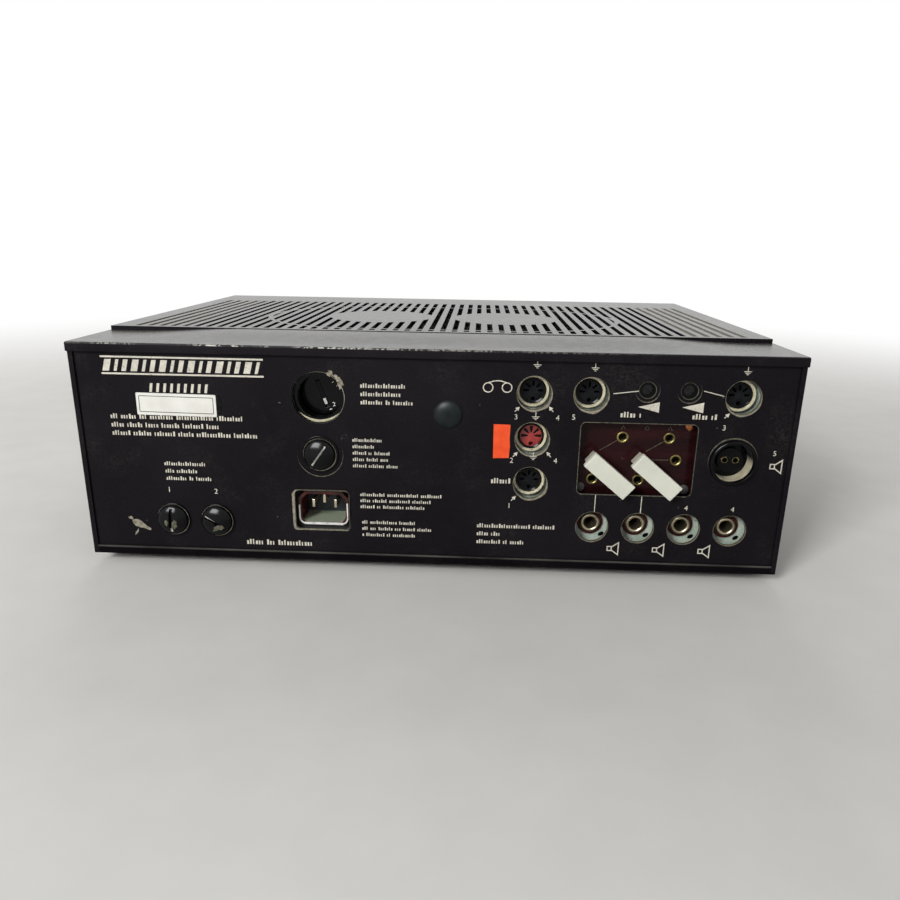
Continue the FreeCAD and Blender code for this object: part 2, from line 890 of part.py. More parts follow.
def make_chassis():
    """The inner rear wall, the deck on its posts and the wall behind the fascia."""
    y = ("chassis_back", "chassis_face")
    skin = block("chassis_skin", ("-wall_in", "wall_in"), y, ("tray_top", "lid_under"))
    past = ("chassis_back - sheet", "chassis_face + sheet")
    inlet = slab(
        "inlet_window",
        ("mains_x", drop("inlet_drop")),
        "inlet_width + 2 * fit_gap",
        past,
        "inlet_height + 2 * fit_gap",
    )
    window = slab(
        "board_window",
        ("field_x", drop("field_drop")),
        "board_window_width",
        past,
        "board_window_height",
    )
    tools = [
        inlet,
        window,
        through("base_hole", "selector_ring + fit_gap", "mains_x", drop("selector_drop"), y),
        through("line_hole", "line_barrel + fit_gap", "line_x", drop("line_drop"), y),
    ]
    for x, z, flange, turn in fuse_places().values():
        tools.append(through("holder_hole", "holder_barrel + holder_clearance", x, z, y))
    for x, z in socket_places():
        tools.append(through("shell_hole", "shell_barrel + fit_gap", x, z, y))
    for x, z in jack_places():
        tools.append(through("jack_hole", "jack_barrel + fit_gap", x, z, y))
        rivet = (f"({x}) - jack_flange", f"({z}) - jack_flange")
        tools.append(through("rivet_hole", "screw_radius / 2", *rivet, y))
    for x in trimmer_places().values():
        tools.append(through("bush_hole", "trimmer_hole", x, drop("trimmer_drop"), y))
    node("chassis_rear_wall", cut("chassis_rear_wall", skin, *tools))

    deck_y = ("front_wall_back", "chassis_back")
    deck = block("deck", ("-wall_in", "wall_in"), deck_y, ("deck_under", "deck_top"))
    node("chassis_deck", deck)
    spacers = []
    for x, post_y in post_places():
        post = rod("post", "post_radius", (x, post_y, "tray_top"), "deck_under - tray_top")
        bore_at = (x, post_y, "foot_height")
        bore = rod("post_bore", "screw_radius + fit_gap", bore_at, "screw_length + sheet")
        spacers.append(cut("deck_post", post, bore))
    for x, pillar_y in pillar_places():
        spacers.append(rod("pillar", "pillar_radius", (x, pillar_y, "deck_top"), "card_rise"))
    node("chassis_spacers", group("chassis_spacers", spacers))


def make_front():
    """The wall that carries the controls and the fascia before it."""
    wall = block(
        "front_skin",
        ("-wall_in", "wall_in"),
        ("front_wall_face", "front_wall_back"),
        ("tray_top", "lid_under"),
    )
    plate = block(
        "fascia_skin",
        ("-wall_in + fit_gap", "wall_in - fit_gap"),
        ("fascia_face", "front_wall_face"),
        ("fascia_low", "fascia_high"),
    )
    both = ("fascia_face", "front_wall_back")

    def holes(kind):
        tools = [
            through(kind + "_pot_hole", "pot_bush + fit_gap", x, "knob_z", both)
            for x in knob_places().values()
        ]
        for x in switch_places().values():
            tools.append(through(kind + "_switch_hole", "switch_bush + fit_gap", x, "knob_z", both))
        lamp = lamp_place()
        tools.append(through(kind + "_lamp_hole", "lamp_radius + fit_gap", *lamp, both))
        return tools

    node("front_wall", cut("front_wall", wall, *holes("wall")))
    sinks = [
        rod("screw_sink", "head_radius + fit_gap", (x, "fascia_face", z), "head_height", "rear")
        for x, z in fascia_screw_places()
    ]
    node("front_fascia", cut("front_fascia", plate, *holes("fascia"), *sinks))


# ---------------------------------------------------------------- rear fittings


def make_plug():
    profile = [
        ("0", "plug_height"),
        ("plug_radius", "plug_height"),
        ("plug_radius", "0"),
        ("plug_stem", "0"),
        ("plug_stem", "-plug_depth"),
        ("0", "-plug_depth"),
    ]
    at = ("plug_x", "panel_face", drop("plug_drop"))
    plug = turned("plug", profile, at, "rear")
    node("blanking_plug", rounded_rim(plug, "plug_round", "plug_radius", "plug_height"))


def make_selector():
    """The voltage selector: a cup held behind the chassis wall and the slotted rotor in it."""
    at = ("mains_x", "panel_face", drop("selector_drop"))
    wall = "-(chassis_gap + chassis_gauge)"
    flange_back = "-(chassis_gap + chassis_gauge + selector_flange_gauge)"
    cup = [
        ("well_radius", "-selector_rim_drop"),
        ("selector_ring", "-selector_rim_drop"),
        ("selector_ring", wall),
        ("selector_flange", wall),
        ("selector_flange", flange_back),
        ("selector_ring", flange_back),
        ("selector_ring", "-base_depth"),
        ("rotor_shaft + shaft_gap", "-base_depth"),
        ("rotor_shaft + shaft_gap", "-well_depth"),
        ("well_radius", "-well_depth"),
    ]
    node("selector_base", turned("selector_base", cup, at, "rear"))
    floor_level = "-(well_depth - run_gap)"
    face = "-(well_depth - run_gap - rotor_thickness)"
    rotor = [
        ("0", face),
        ("well_radius - run_gap", face),
        ("well_radius - run_gap", floor_level),
        ("rotor_shaft", floor_level),
        ("rotor_shaft", "-(base_depth + selector_bottom)"),
        ("0", "-(base_depth + selector_bottom)"),
    ]
    disc = turned("rotor", rotor, at, "rear")
    slot = coin_slot(
        "rotor_slot",
        at,
        "2 * (well_radius - 2 * rotor_slot_width)",
        "rotor_slot_width",
        (f"{face} - rotor_slot_depth", "0"),
        "rotor_slot_turn",
    )
    node("voltage_selector", cut("voltage_selector", disc, slot))


def coin_slot(name, at, length, width, y, turn):
    """A tool for a screwdriver's slot, centred on an axis that points to the rear."""
    flat = slab(name + "_flat", ("0", "0"), length, y, width)
    turnable = doc.addObject("Part::Compound", name)
    turnable.Links = [flat]
    return turned_to(turnable, at, turn)


def make_fuses():
    """Each holder takes a cartridge and the cap that carries it out."""
    holders = []
    for name, (x, z, flange, turn) in fuse_places().items():
        at = (x, "panel_face", z)
        tube = [
            ("fuse_bore", "holder_rim"),
            (flange, "holder_rim"),
            (flange, "0"),
            ("holder_barrel", "0"),
            ("holder_barrel", "-holder_depth"),
            ("0", "-holder_depth"),
            ("0", "-(holder_depth - holder_bottom)"),
            ("fuse_bore", "-(holder_depth - holder_bottom)"),
        ]
        holders.append(turned("holder", tube, at, "rear"))
        nut = [
            ("holder_barrel + fit_gap", "-panel_gauge"),
            ("holder_nut_radius", "-panel_gauge"),
            ("holder_nut_radius", "-(panel_gauge + holder_nut)"),
            ("holder_barrel + fit_gap", "-(panel_gauge + holder_nut)"),
        ]
        holders.append(turned("holder_nut", nut, at, "rear"))
        node(name + "_fuse_cap", make_cap(name, at, turn))
        node(name + "_fuse_cartridge", make_cartridge(name, x, z))
    node("fuse_holders", group("fuse_holders", holders))


def make_cap(name, at, turn):
    under = "holder_rim + run_gap"
    mouth = "-(cap_skirt - cap_socket)"
    head = [
        ("0", "cap_height"),
        ("cap_radius", "cap_height"),
        ("cap_radius", under),
        ("fuse_bore - run_gap", under),
        ("fuse_bore - run_gap", "-cap_skirt"),
        ("fuse_radius + run_gap", "-cap_skirt"),
        ("fuse_radius + run_gap", mouth),
        ("0", mouth),
    ]
    cap = turned(name + "_cap", head, at, "rear")
    rounded_rim(cap, "cap_round", "cap_radius", "cap_height")
    y = ("cap_height - cap_slot_depth", "cap_height + sheet")
    slot = coin_slot(name + "_slot", at, "cap_slot_length", "cap_slot_width", y, turn)
    return cut(name + "_cap_slotted", cap, slot)


def make_cartridge(name, x, z):
    """A glass tube between two metal ferrules, lying along Y."""
    front = "panel_face - (cap_skirt - cap_socket) - run_gap"
    glass = (x, f"{front} - fuse_length + ferrule", z)
    pieces = [rod(name + "_glass", "fuse_radius - fit_gap", glass, "fuse_length - 2 * ferrule", "rear")]
    for start in (f"{front} - fuse_length", f"{front} - ferrule"):
        pieces.append(rod(name + "_ferrule", "fuse_radius", (x, start, z), "ferrule", "rear"))
    return group(name + "_cartridge", pieces)


def make_inlet():
    """The mains inlet: a moulded shell behind the panel's opening, with three flat blades."""
    centre = ("mains_x", drop("inlet_drop"))
    front = "panel_face - inlet_sink"
    back = "panel_face - inlet_depth"
    recess_end = f"{front} - inlet_recess"
    shell = rounded_bar(
        "inlet_shell",
        centre,
        "inlet_width",
        (back, front),
        "inlet_height",
        "inlet_round",
        "inlet_chamfer",
    )
    inner = rounded_bar(
        "inlet_hollow",
        centre,
        "inlet_width - 2 * inlet_wall",
        (recess_end, f"{front} + sheet"),
        "inlet_height - 2 * inlet_wall",
        "inlet_round - inlet_wall / 2",
        "inlet_chamfer - inlet_wall / 2",
    )
    ears = slab(
        "inlet_ears",
        centre,
        "inlet_width + 2 * inlet_ear",
        ("chassis_back - inlet_ear_gauge", "chassis_back"),
        "inlet_height + inlet_ear",
    )
    node("inlet_housing", cut("inlet_housing", fuse("inlet_body", shell, ears), inner))
    blades = []
    for side, rise in ((-1, "blade_rise"), (0, "middle_blade_rise"), (1, "blade_rise")):
        at = (f"mains_x + ({side}) * blade_spread", drop(f"inlet_drop - {rise}"))
        y = (recess_end, f"{recess_end} + blade_length")
        blades.append(slab("blade", at, "blade_thickness", y, "blade_height"))
    node("inlet_blades", group("inlet_blades", blades))


def make_sockets():
    """Five round sockets: a plated shell held in the chassis wall around a moulded insert."""
    shells = []
    inserts = []
    for x, z in socket_places():
        at = (x, "chassis_face", z)
        shell = [
            ("shell_bore", "shell_stand"),
            ("shell_flange", "shell_stand"),
            ("shell_flange", "0"),
            ("shell_barrel", "0"),
            ("shell_barrel", "-shell_depth"),
            ("shell_bore", "-shell_depth"),
        ]
        shells.append(turned("shell", shell, at, "rear"))
        inserts.append(make_insert(x, z))
    node("socket_shells", group("socket_shells", shells))
    node("record_socket_insert", inserts.pop(1))
    node("socket_inserts", group("socket_inserts", inserts))


def make_insert(x, z):
    """A stepped plug with five radial contact slots above a round key hole."""
    at = (x, "chassis_face", z)
    profile = [
        ("0", "insert_stand"),
        ("insert_radius", "insert_stand"),
        ("insert_radius", "-insert_groove"),
        ("shell_bore - fit_gap", "-insert_groove"),
        ("shell_bore - fit_gap", "-insert_depth"),
        ("0", "-insert_depth"),
    ]
    core = turned("insert", profile, at, "rear")
    y = ("insert_stand - pin_slot_depth", "insert_stand + sheet")
    tools = []
    for i in range(SIZES["pin_slot_count"]):
        flat = block(
            "pin_slot_flat",
            ("pin_slot_inner", "pin_slot_outer"),
            y,
            ("-pin_slot_width / 2", "pin_slot_width / 2"),
        )
        tool = doc.addObject("Part::Compound", "pin_slot")
        tool.Links = [flat]
        tools.append(turned_to(tool, at, f"{i} * pin_slot_step"))
    key = (x, "chassis_face + insert_stand - pin_slot_depth", f"({z}) - key_offset")
    tools.append(rod("key_hole", "key_radius", key, "pin_slot_depth + sheet", "rear"))
    return cut("insert_cut", core, *tools)


def make_trimmers():
    """Preset controls: a body behind the chassis wall, its bush in the panel, and a slotted rotor."""
    bodies = []
    rear = "chassis_back - trimmer_depth"
    for name, x in trimmer_places().items():
        z = drop("trimmer_drop")
        case = slab(
            "trimmer_case",
            (x, z),
            "trimmer_box",
            ("chassis_back - trimmer_box_depth", "chassis_back"),
            "trimmer_box",
        )
        bush_end = "panel_face - trimmer_sink"
        bush = rod(
            "trimmer_bush", "trimmer_hole - fit_gap", (x, rear, z), f"{bush_end} - ({rear})", "rear"
        )
        bore = rod(
            "trimmer_bore", "trimmer_radius + shaft_gap", (x, rear, z), f"panel_face - ({rear})", "rear"
        )
        bodies.append(cut("trimmer_body", fuse("trimmer_solid", case, bush), bore))
        start = f"{rear} + run_gap"
        end = "panel_face - 2 * trimmer_sink"
        pin = rod("trimmer_pin", "trimmer_radius", (x, start, z), f"{end} - ({start})", "rear")
        y = ("-3 * trimmer_sink", "0")
        slot = coin_slot(
            "trimmer_slot", (x, "panel_face", z), "3 * trimmer_radius", "trimmer_sink", y, "trimmer_slot_turn"
        )
        label = f"input_{name}_trimmer"
        node(label, cut(label, pin, slot))
    node("trimmer_bodies", group("trimmer_bodies", bodies))


def make_jacks():
    """Four jacks: a plated bush clamped over a fibre washer, and the moulded body behind the wall."""
    bushes = []
    bodies = []
    for x, z in jack_places():
        at = (x, "chassis_face", z)
        top = "shell_stand"
        bush = [
            ("jack_bore", top),
            ("jack_flange", top),
            ("jack_flange", "washer_height"),
            ("jack_barrel", "washer_height"),
            ("jack_barrel", f"{top} - jack_length"),
            ("jack_bore", f"{top} - jack_length"),
        ]
        bushes.append(turned("bush", bush, at, "rear"))
        washer = [
            ("jack_barrel + fit_gap", "0"),
            ("washer_radius", "0"),
            ("washer_radius", "washer_height"),
            ("jack_barrel + fit_gap", "washer_height"),
        ]
        bodies.append(turned("washer", washer, at, "rear"))
        case = slab(
            "jack_case",
            (x, z),
            "jack_body_width",
            ("chassis_back - jack_body_depth", "chassis_back"),
            "jack_body_width",
        )
        mouth = rod(
            "jack_mouth",
            "jack_barrel + fit_gap",
            (x, f"chassis_face + {top} - jack_length", z),
            "jack_length",
            "rear",
        )
        bore = rod(
            "jack_hollow",
            "jack_bore + run_gap",
            (x, "chassis_back - jack_body_bore", z),
            "jack_body_bore",
            "rear",
        )
        bodies.append(cut("jack_body", case, mouth, bore))
    node("jack_bushes", group("jack_bushes", bushes))
    node("jack_bodies", group("jack_bodies", bodies))


def make_line_socket():
    """The large line socket: a raised ring, a pale floor and a dark contact block on it."""
    x, z = "line_x", drop("line_drop")
    at = (x, "panel_face", z)
    end = "-(chassis_gap + chassis_gauge + line_block_height)"
    ring = [
        ("line_bore", "line_stand"),
        ("line_flange", "line_stand"),
        ("line_flange", "0"),
        ("line_barrel", "0"),
        ("line_barrel", end),
        ("line_bore", end),
    ]
    tube = turned("line_ring", ring, at, "rear")
    rounded_rim(tube, "line_stand / 2", "line_flange", "line_stand")
    floor_y = "panel_face - line_depth"
    block_solid = rod("line_block", "line_block_radius", (x, floor_y, z), "line_block_height", "rear")
    pins = [
        rod(
            "line_contact",
            "line_pin_hole",
            (f"{x} + ({side}) * line_pin_spacing / 2", floor_y, z),
            "line_block_height",
            "rear",
        )
        for side in (-1, 1)
    ]
    contacts = cut("line_contacts", block_solid, *pins)
    node("line_socket", group("line_socket", [tube, contacts]))
    base = rod(
        "line_floor",
        "line_bore - fit_gap",
        (x, "chassis_back - line_block_height", z),
        f"{floor_y} - (chassis_back - line_block_height)",
        "rear",
    )
    node("line_socket_insert", base)


# ---------------------------------------------------------------- terminal board and links


def link_places():
    return {"left": "link_x", "right": "link_x - link_pitch"}


def pin_places():
    """The board's eyelets beneath the pins of the two links."""
    places = []
    for x in link_places().values():
        for side in (-1, 1):
            places.append(
                (
                    f"{x} + ({side}) * link_pin_reach * cos(link_tilt)",
                    drop(f"link_drop - ({side}) * link_pin_reach * sin(link_tilt)"),
                )
            )
    return places


def open_eyelet_places():
    """The eyelets that stay free: an upper pair, a lower pair and one at the edge."""
    upper = drop("field_drop - eyelet_upper_rise")
    lower = drop("field_drop + eyelet_lower_fall")
    pairs = [(f"field_x + eyelet_upper_x - {i} * link_pitch", upper) for i in range(2)]
    pairs += [(f"field_x + eyelet_lower_x - {i} * link_pitch", lower) for i in range(2)]
    return pairs + [("field_x - eyelet_edge_x", drop("field_drop + eyelet_edge_fall"))]


def make_terminal_board():
    y = ("chassis_face", "board_front")
    skin = slab("board_skin", ("field_x", drop("field_drop")), "board_width", y, "board_height")
    tools = []
    eyelets = []
    for x, z in pin_places() + open_eyelet_places():
        tools.append(through("eyelet_hole", "eyelet_barrel + fit_gap", x, z, y))
        profile = [
            ("eyelet_bore", "eyelet_rim"),
            ("eyelet_flange", "eyelet_rim"),
            ("eyelet_flange", "0"),
            ("eyelet_barrel", "0"),
            ("eyelet_barrel", "-(board_gauge + eyelet_tail)"),
            ("eyelet_bore", "-(board_gauge + eyelet_tail)"),
        ]
        eyelets.append(turned("eyelet", profile, (x, "board_front", z), "rear"))
    node("terminal_board", cut("terminal_board", skin, *tools))
    node("terminal_eyelets", group("terminal_eyelets", eyelets))


def make_links():
    """Each link is a stepped bar with two pins, made level and then tilted about its middle."""
    for side, x in link_places().items():
        out = "link_stand_out"
        under_cap = "link_stand_out - link_cap"
        seat = "eyelet_front + run_gap - panel_face"
        cap = slab("link_cap_bar", ("0", "0"), "link_length", (under_cap, out), "link_width")
        foot = block(
            "link_foot",
            ("-link_length / 2 + link_step_end", "link_length / 2 - link_step"),
            (seat, under_cap),
            ("-link_width / 2 + link_step", "link_width / 2 - link_step"),
        )
        bar = fuse("link_bar", cap, foot)
        pins = [
            rod(
                "link_pin",
                "link_pin_radius",
                (f"({end}) * link_pin_reach", f"{seat} - link_pin_length", "0"),
                "link_pin_length",
                "rear",
            )
            for end in (-1, 1)
        ]
        link = group(f"{side}_link", [bar, *pins])
        turned_to(link, (x, "panel_face", drop("link_drop")), "link_tilt")
        node(f"{side}_link", link)


# ---------------------------------------------------------------- front controls


def knob_places():
    """The knobs' names and places, in a row about the middle."""
    names = ("volume_one", "volume_two", "volume_three", "volume_four", "bass", "treble")
    middle = (len(names) - 1) / 2
    return {name: f"({i - middle}) * knob_pitch" for i, name in enumerate(names)}


def switch_places():
    return {"mains": "-switch_x", "standby": "switch_x"}


def lamp_place():
    return ("-switch_x", "knob_z + lamp_rise")


def make_knobs():
    pots = []
    for name, x in knob_places().items():
        at = (x, "fascia_face", "knob_z")
        low = "knob_gap"
        high = "knob_gap + knob_height"
        under = "pot_bush_stand + knob_gap"
        profile = [
            ("0", f"{high} - knob_dish"),
            ("knob_dish_radius", f"{high} - knob_dish"),
            ("knob_dish_radius", high),
            ("knob_radius - knob_draft", high),
            ("knob_radius", "knob_gap + knob_skirt"),
            ("knob_skirt_radius - knob_draft", "knob_gap + knob_skirt"),
            ("knob_skirt_radius", low),
            ("pot_bush + knob_gap", low),
            ("pot_bush + knob_gap", under),
            ("pot_shaft + fit_gap", under),
            ("pot_shaft + fit_gap", "knob_bore_depth"),
            ("0", "knob_bore_depth"),
        ]
        cap = turned(name + "_cap", profile, at, "front")
        step = "fascia_face - knob_gap - knob_skirt"
        mark = block(
            name + "_mark",
            (f"{x} - knob_mark_width / 2", f"{x} + knob_mark_width / 2"),
            (f"{step} - knob_mark_depth", f"{step} + knob_mark_depth"),
            ("knob_z + knob_radius + knob_mark_depth", "knob_z + 2 * knob_skirt_radius"),
        )
        marked = cut(name + "_marked", cap, mark)
        start = "front_wall_back + pot_bore_depth - run_gap"
        tip = "fascia_face - knob_bore_depth + fit_gap"
        shaft = rod(name + "_shaft", "pot_shaft", (x, tip, "knob_z"), f"{start} - ({tip})", "rear")
        node(name + "_knob", group(name + "_knob", [marked, shaft]))
        pots.append(make_pot(x))
    node("potentiometers", group("potentiometers", pots))


def make_pot(x):
    case = rod("pot_case", "pot_radius", (x, "front_wall_back", "knob_z"), "pot_depth", "rear")
    nose = "fascia_face - pot_bush_stand"
    bush = rod("pot_neck", "pot_bush", (x, nose, "knob_z"), f"front_wall_back - ({nose})", "rear")
    bore = rod(
        "pot_bore",
        "pot_shaft + shaft_gap",
        (x, f"{nose} - sheet", "knob_z"),
        f"front_wall_back + pot_bore_depth - ({nose} - sheet)",
        "rear",
    )
    return cut("pot", fuse("pot_solid", case, bush), bore)


def make_switches():
    """Toggle switches: a box behind the front wall, a bored bush, and a lever on a ball."""
    bodies = []
    for name, x in switch_places().items():
        case = slab(
            "switch_case",
            (x, "knob_z"),
            "switch_box",
            ("front_wall_back", "front_wall_back + switch_box_depth"),
            "switch_box_height",
        )
        nose = "fascia_face - switch_bush_stand"
        bush = rod(
            "switch_neck", "switch_bush", (x, nose, "knob_z"), f"front_wall_back - ({nose})", "rear"
        )
        pocket_end = "front_wall_back + lever_ball / 2"
        bore = rod(
            "switch_hollow",
            "switch_bore",
            (x, f"{nose} - sheet", "knob_z"),
            f"{pocket_end} - ({nose} - sheet)",
            "rear",
        )
        bodies.append(cut("switch_body", fuse("switch_solid", case, bush), bore))
        pivot = (x, "front_wall_back - lever_ball / 2 - run_gap", "knob_z")
        node(f"{name}_switch_lever", turned_to(make_lever(name), pivot, "lever_throw / 2", X_AXIS))
    node("switch_bodies", group("switch_bodies", bodies))


def make_lever(name):
    """A level lever with its ball at the origin; it rests switched off, tip down."""
    middle = ("0", "0", "0")
    root = ball(name + "_ball", "lever_ball", middle)
    stem = cone(name + "_stem", "lever_root", "lever_tip", middle, "lever_length", "front")
    tip = ball(name + "_tip", "lever_tip", ("0", "-lever_length", "0"))
    return fuse(name + "_lever", root, stem, tip)


def make_lamp():
    """The pilot lamp: a domed lens through a ring on the fascia."""
    x, z = lamp_place()
    at = (x, "fascia_face", z)
    lens = turned(
        "lens",
        [
            ("0", "lamp_stand"),
            ("lamp_radius", "lamp_stand"),
            ("lamp_radius", "-lamp_depth"),
            ("0", "-lamp_depth"),
        ],
        at,
        "front",
    )
    node("pilot_lens", rounded_rim(lens, "lamp_round", "lamp_radius", "lamp_stand"))
    ring = [
        ("lamp_radius + fit_gap", "0"),
        ("lamp_bezel", "0"),
        ("lamp_bezel", "lamp_bezel_height"),
        ("lamp_radius + fit_gap", "lamp_bezel_height"),
    ]
    node("pilot_bezel", turned("bezel", ring, at, "front"))


# ---------------------------------------------------------------- inside


def make_transformer(name, x, y, leg, stack):
    """A shell-type core six legs wide and five high, and the coil around its middle leg."""
    base = "deck_top"
    core = block(
        name + "_iron",
        (f"{x} - 3 * {leg}", f"{x} + 3 * {leg}"),
        (f"{y} - {stack} / 2", f"{y} + {stack} / 2"),
        (base, f"{base} + 5 * {leg}"),
    )
    windows = []
    for side in (-1, 1):
        low, high = sorted((side, 2 * side))
        windows.append(
            block(
                name + "_window",
                (f"{x} + ({low}) * {leg}", f"{x} + ({high}) * {leg}"),
                (f"{y} - {stack}", f"{y} + {stack}"),
                (f"{base} + {leg}", f"{base} + 4 * {leg}"),
            )
        )
    core = cut(name + "_core", core, *windows)
    z = (f"{base} + {leg} + coil_gap", f"{base} + 4 * {leg} - coil_gap")
    winding = block(
        name + "_winding",
        (f"{x} - 2 * {leg} + coil_gap", f"{x} + 2 * {leg} - coil_gap"),
        (f"{y} - {stack} / 2 - coil_bulge", f"{y} + {stack} / 2 + coil_bulge"),
        z,
    )
    hole = block(
        name + "_former",
        (f"{x} - {leg} - fit_gap", f"{x} + {leg} + fit_gap"),
        (f"{y} - {stack} / 2 - fit_gap", f"{y} + {stack} / 2 + fit_gap"),
        z,
    )
    return core, cut(name + "_coil", winding, hole)


def make_transformers():
    mains = make_transformer("mains", "mains_core_x", "core_y", "mains_leg", "mains_stack")
    output = make_transformer("output", "output_core_x", "core_y", "output_leg", "output_stack")
    node("transformer_cores", group("transformer_cores", [mains[0], output[0]]))
    node("transformer_coils", group("transformer_coils", [mains[1], output[1]]))


def make_tubes():
    """Two output tubes lie along Y in sockets on a folded bracket."""
    half = "bracket_width / 2"
    middle = "bracket_x"
    z = "deck_top + tube_rise"
    upright = block(
        "bracket_upright",
        (f"{middle} - {half}", f"{middle} + {half}"),
        ("bracket_y", "bracket_y + bracket_gauge"),
        ("deck_top", "deck_top + bracket_height"),
    )
    foot = block(
        "bracket_flange",
        (f"{middle} - {half}", f"{middle} + {half}"),
        ("bracket_y", "bracket_y + bracket_foot"),
        ("deck_top", "deck_top + bracket_gauge"),
    )
    holes = []
    sockets = []
    bases = []
    bulbs = []
    for i in range(2):
        x = f"tube_x - {i} * tube_pitch"
        wall = ("bracket_y", "bracket_y + bracket_gauge")
        holes.append(through("tube_hole", "socket_body_radius + fit_gap", x, z, wall))
        body = rod("tube_socket_body", "socket_body_radius", (x, wall[0], z), "socket_body_depth", "rear")
        flange = rod(
            "tube_socket_flange",
            "socket_flange_radius",
            (x, "bracket_y - socket_flange_gauge", z),
            "socket_flange_gauge",
            "rear",
        )
        sockets.append(fuse("tube_socket", body, flange))
        face = "bracket_y - socket_flange_gauge"
        bases.append(rod("tube_base", "base_radius", (x, face, z), "base_length", "front"))
        glass = rod("bulb_wall", "bulb_radius", (x, f"{face} - base_length", z), "bulb_length", "front")
        end = ball("bulb_end", "bulb_radius", (x, f"{face} - base_length - bulb_length", z))
        bulbs.append(fuse("bulb", glass, end))
    node("tube_bracket", cut("tube_bracket", fuse("bracket", upright, foot), *holes))
    node("output_tube_bases", group("output_tube_bases", bases))
    return sockets, bulbs


def make_cans():
    """Filter capacitors: a row of cans standing on the deck."""
    cans = []
    for i in range(SIZES["can_count"]):
        y = f"can_y + ({i} - (can_count - 1) / 2) * can_pitch"
        profile = [("0", "0"), ("can_radius", "0"), ("can_radius", "can_height"), ("0", "can_height")]
        can = turned("can", profile, ("can_x", y, "deck_top"))
        cans.append(rounded_rim(can, "can_round", "can_radius", "can_height"))
    node("filter_capacitors", group("filter_capacitors", cans))


def pillar_places():
    half_x = "card_width / 2 - pillar_inset"
    half_y = "card_depth / 2 - pillar_inset"
    return [
        (f"card_x + ({sx}) * ({half_x})", f"card_y + ({sy}) * ({half_y})")
        for sx in (-1, 1)
        for sy in (-1, 1)
    ]


def make_card():
    """The preamplifier board with its tubes, capacitors and resistors."""
    card = block(
        "card",
        ("card_x - card_width / 2", "card_x + card_width / 2"),
        ("card_y - card_depth / 2", "card_y + card_depth / 2"),
        ("card_under", "card_top"),
    )
    node("circuit_board", card)
    sockets = []
    tubes = []
    for i in range(SIZES["preamp_count"]):
        x = f"card_x + ({i} - (preamp_count - 1) / 2) * preamp_pitch"
        y = "card_y - preamp_setback"
        sockets.append(
            rod("preamp_socket", "preamp_socket_radius", (x, y, "card_top"), "preamp_socket_height")
        )
        foot = "card_top + preamp_socket_height"
        glass = rod("preamp_wall", "preamp_radius", (x, y, foot), "preamp_length")
        end = ball("preamp_end", "preamp_radius", (x, y, f"{foot} + preamp_length"))
        tubes.append(fuse("preamp_bulb", glass, end))
    parts = []
    for i in range(SIZES["capacitor_count"]):
        x = f"card_x + ({i} - (capacitor_count - 1) / 2) * capacitor_pitch"
        end = "card_y + card_depth / 2 - card_edge"
        width = (f"{x} - capacitor_width / 2", f"{x} + capacitor_width / 2")
        depth = (f"{end} - capacitor_depth", end)
        height = ("card_top", "card_top + capacitor_height")
        parts.append(block("film_capacitor", width, depth, height))
    for i in range(SIZES["resistor_count"]):
        x = f"card_x + ({i} - (resistor_count - 1) / 2) * resistor_pitch"
        y = "card_y - card_depth / 2 + card_edge"
        at = (f"{x} - resistor_length / 2", y, "card_top + resistor_radius")
        parts.append(rod("resistor", "resistor_radius", at, "resistor_length", "right"))
    node("board_components", group("board_components", parts))
    return sockets, tubes


# ---------------------------------------------------------------- build, check and write


def build():
    make_case()
    make_feet_and_fasteners()
    make_grille()
    make_rear_panel()
    make_chassis()
    make_front()
    make_plug()
    make_selector()
    make_fuses()
    make_inlet()
    make_sockets()
    make_trimmers()
    make_jacks()
    make_line_socket()
    make_terminal_board()
    make_links()
    make_knobs()
    make_switches()
    make_lamp()
    make_transformers()
    make_cans()
    output_sockets, output_bulbs = make_tubes()
    preamp_sockets, preamp_bulbs = make_card()
    node("tube_sockets", group("tube_sockets", output_sockets + preamp_sockets))
    node("tube_bulbs", group("tube_bulbs", output_bulbs + preamp_bulbs))
    doc.recompute()


def check():
    """Stops the build on a failed object or on a sub-part that is not a valid solid."""
    for thing in doc.Objects:
        if "Invalid" in thing.State or "Error" in thing.State:
            raise RuntimeError(f"{thing.Label} is {thing.State}")
    for thing in nodes:
        shape = thing.Shape
        if shape.isNull() or not shape.isValid() or not shape.Solids:
            raise RuntimeError(f"{thing.Label} has no valid shape")


def write():
    os.makedirs("parts", exist_ok=True)
    for thing in nodes:
        thing.Shape.exportStep(f"parts/{thing.Label}.step")


fill_sheet("Sizes", SIZES)
fill_sheet("Places", PLACES)
build()
check()
write()
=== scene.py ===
import json
import math

import bmesh
import bpy
import numpy as np
from bpy.props import FloatProperty, FloatVectorProperty, PointerProperty
from mathutils import Matrix, Vector

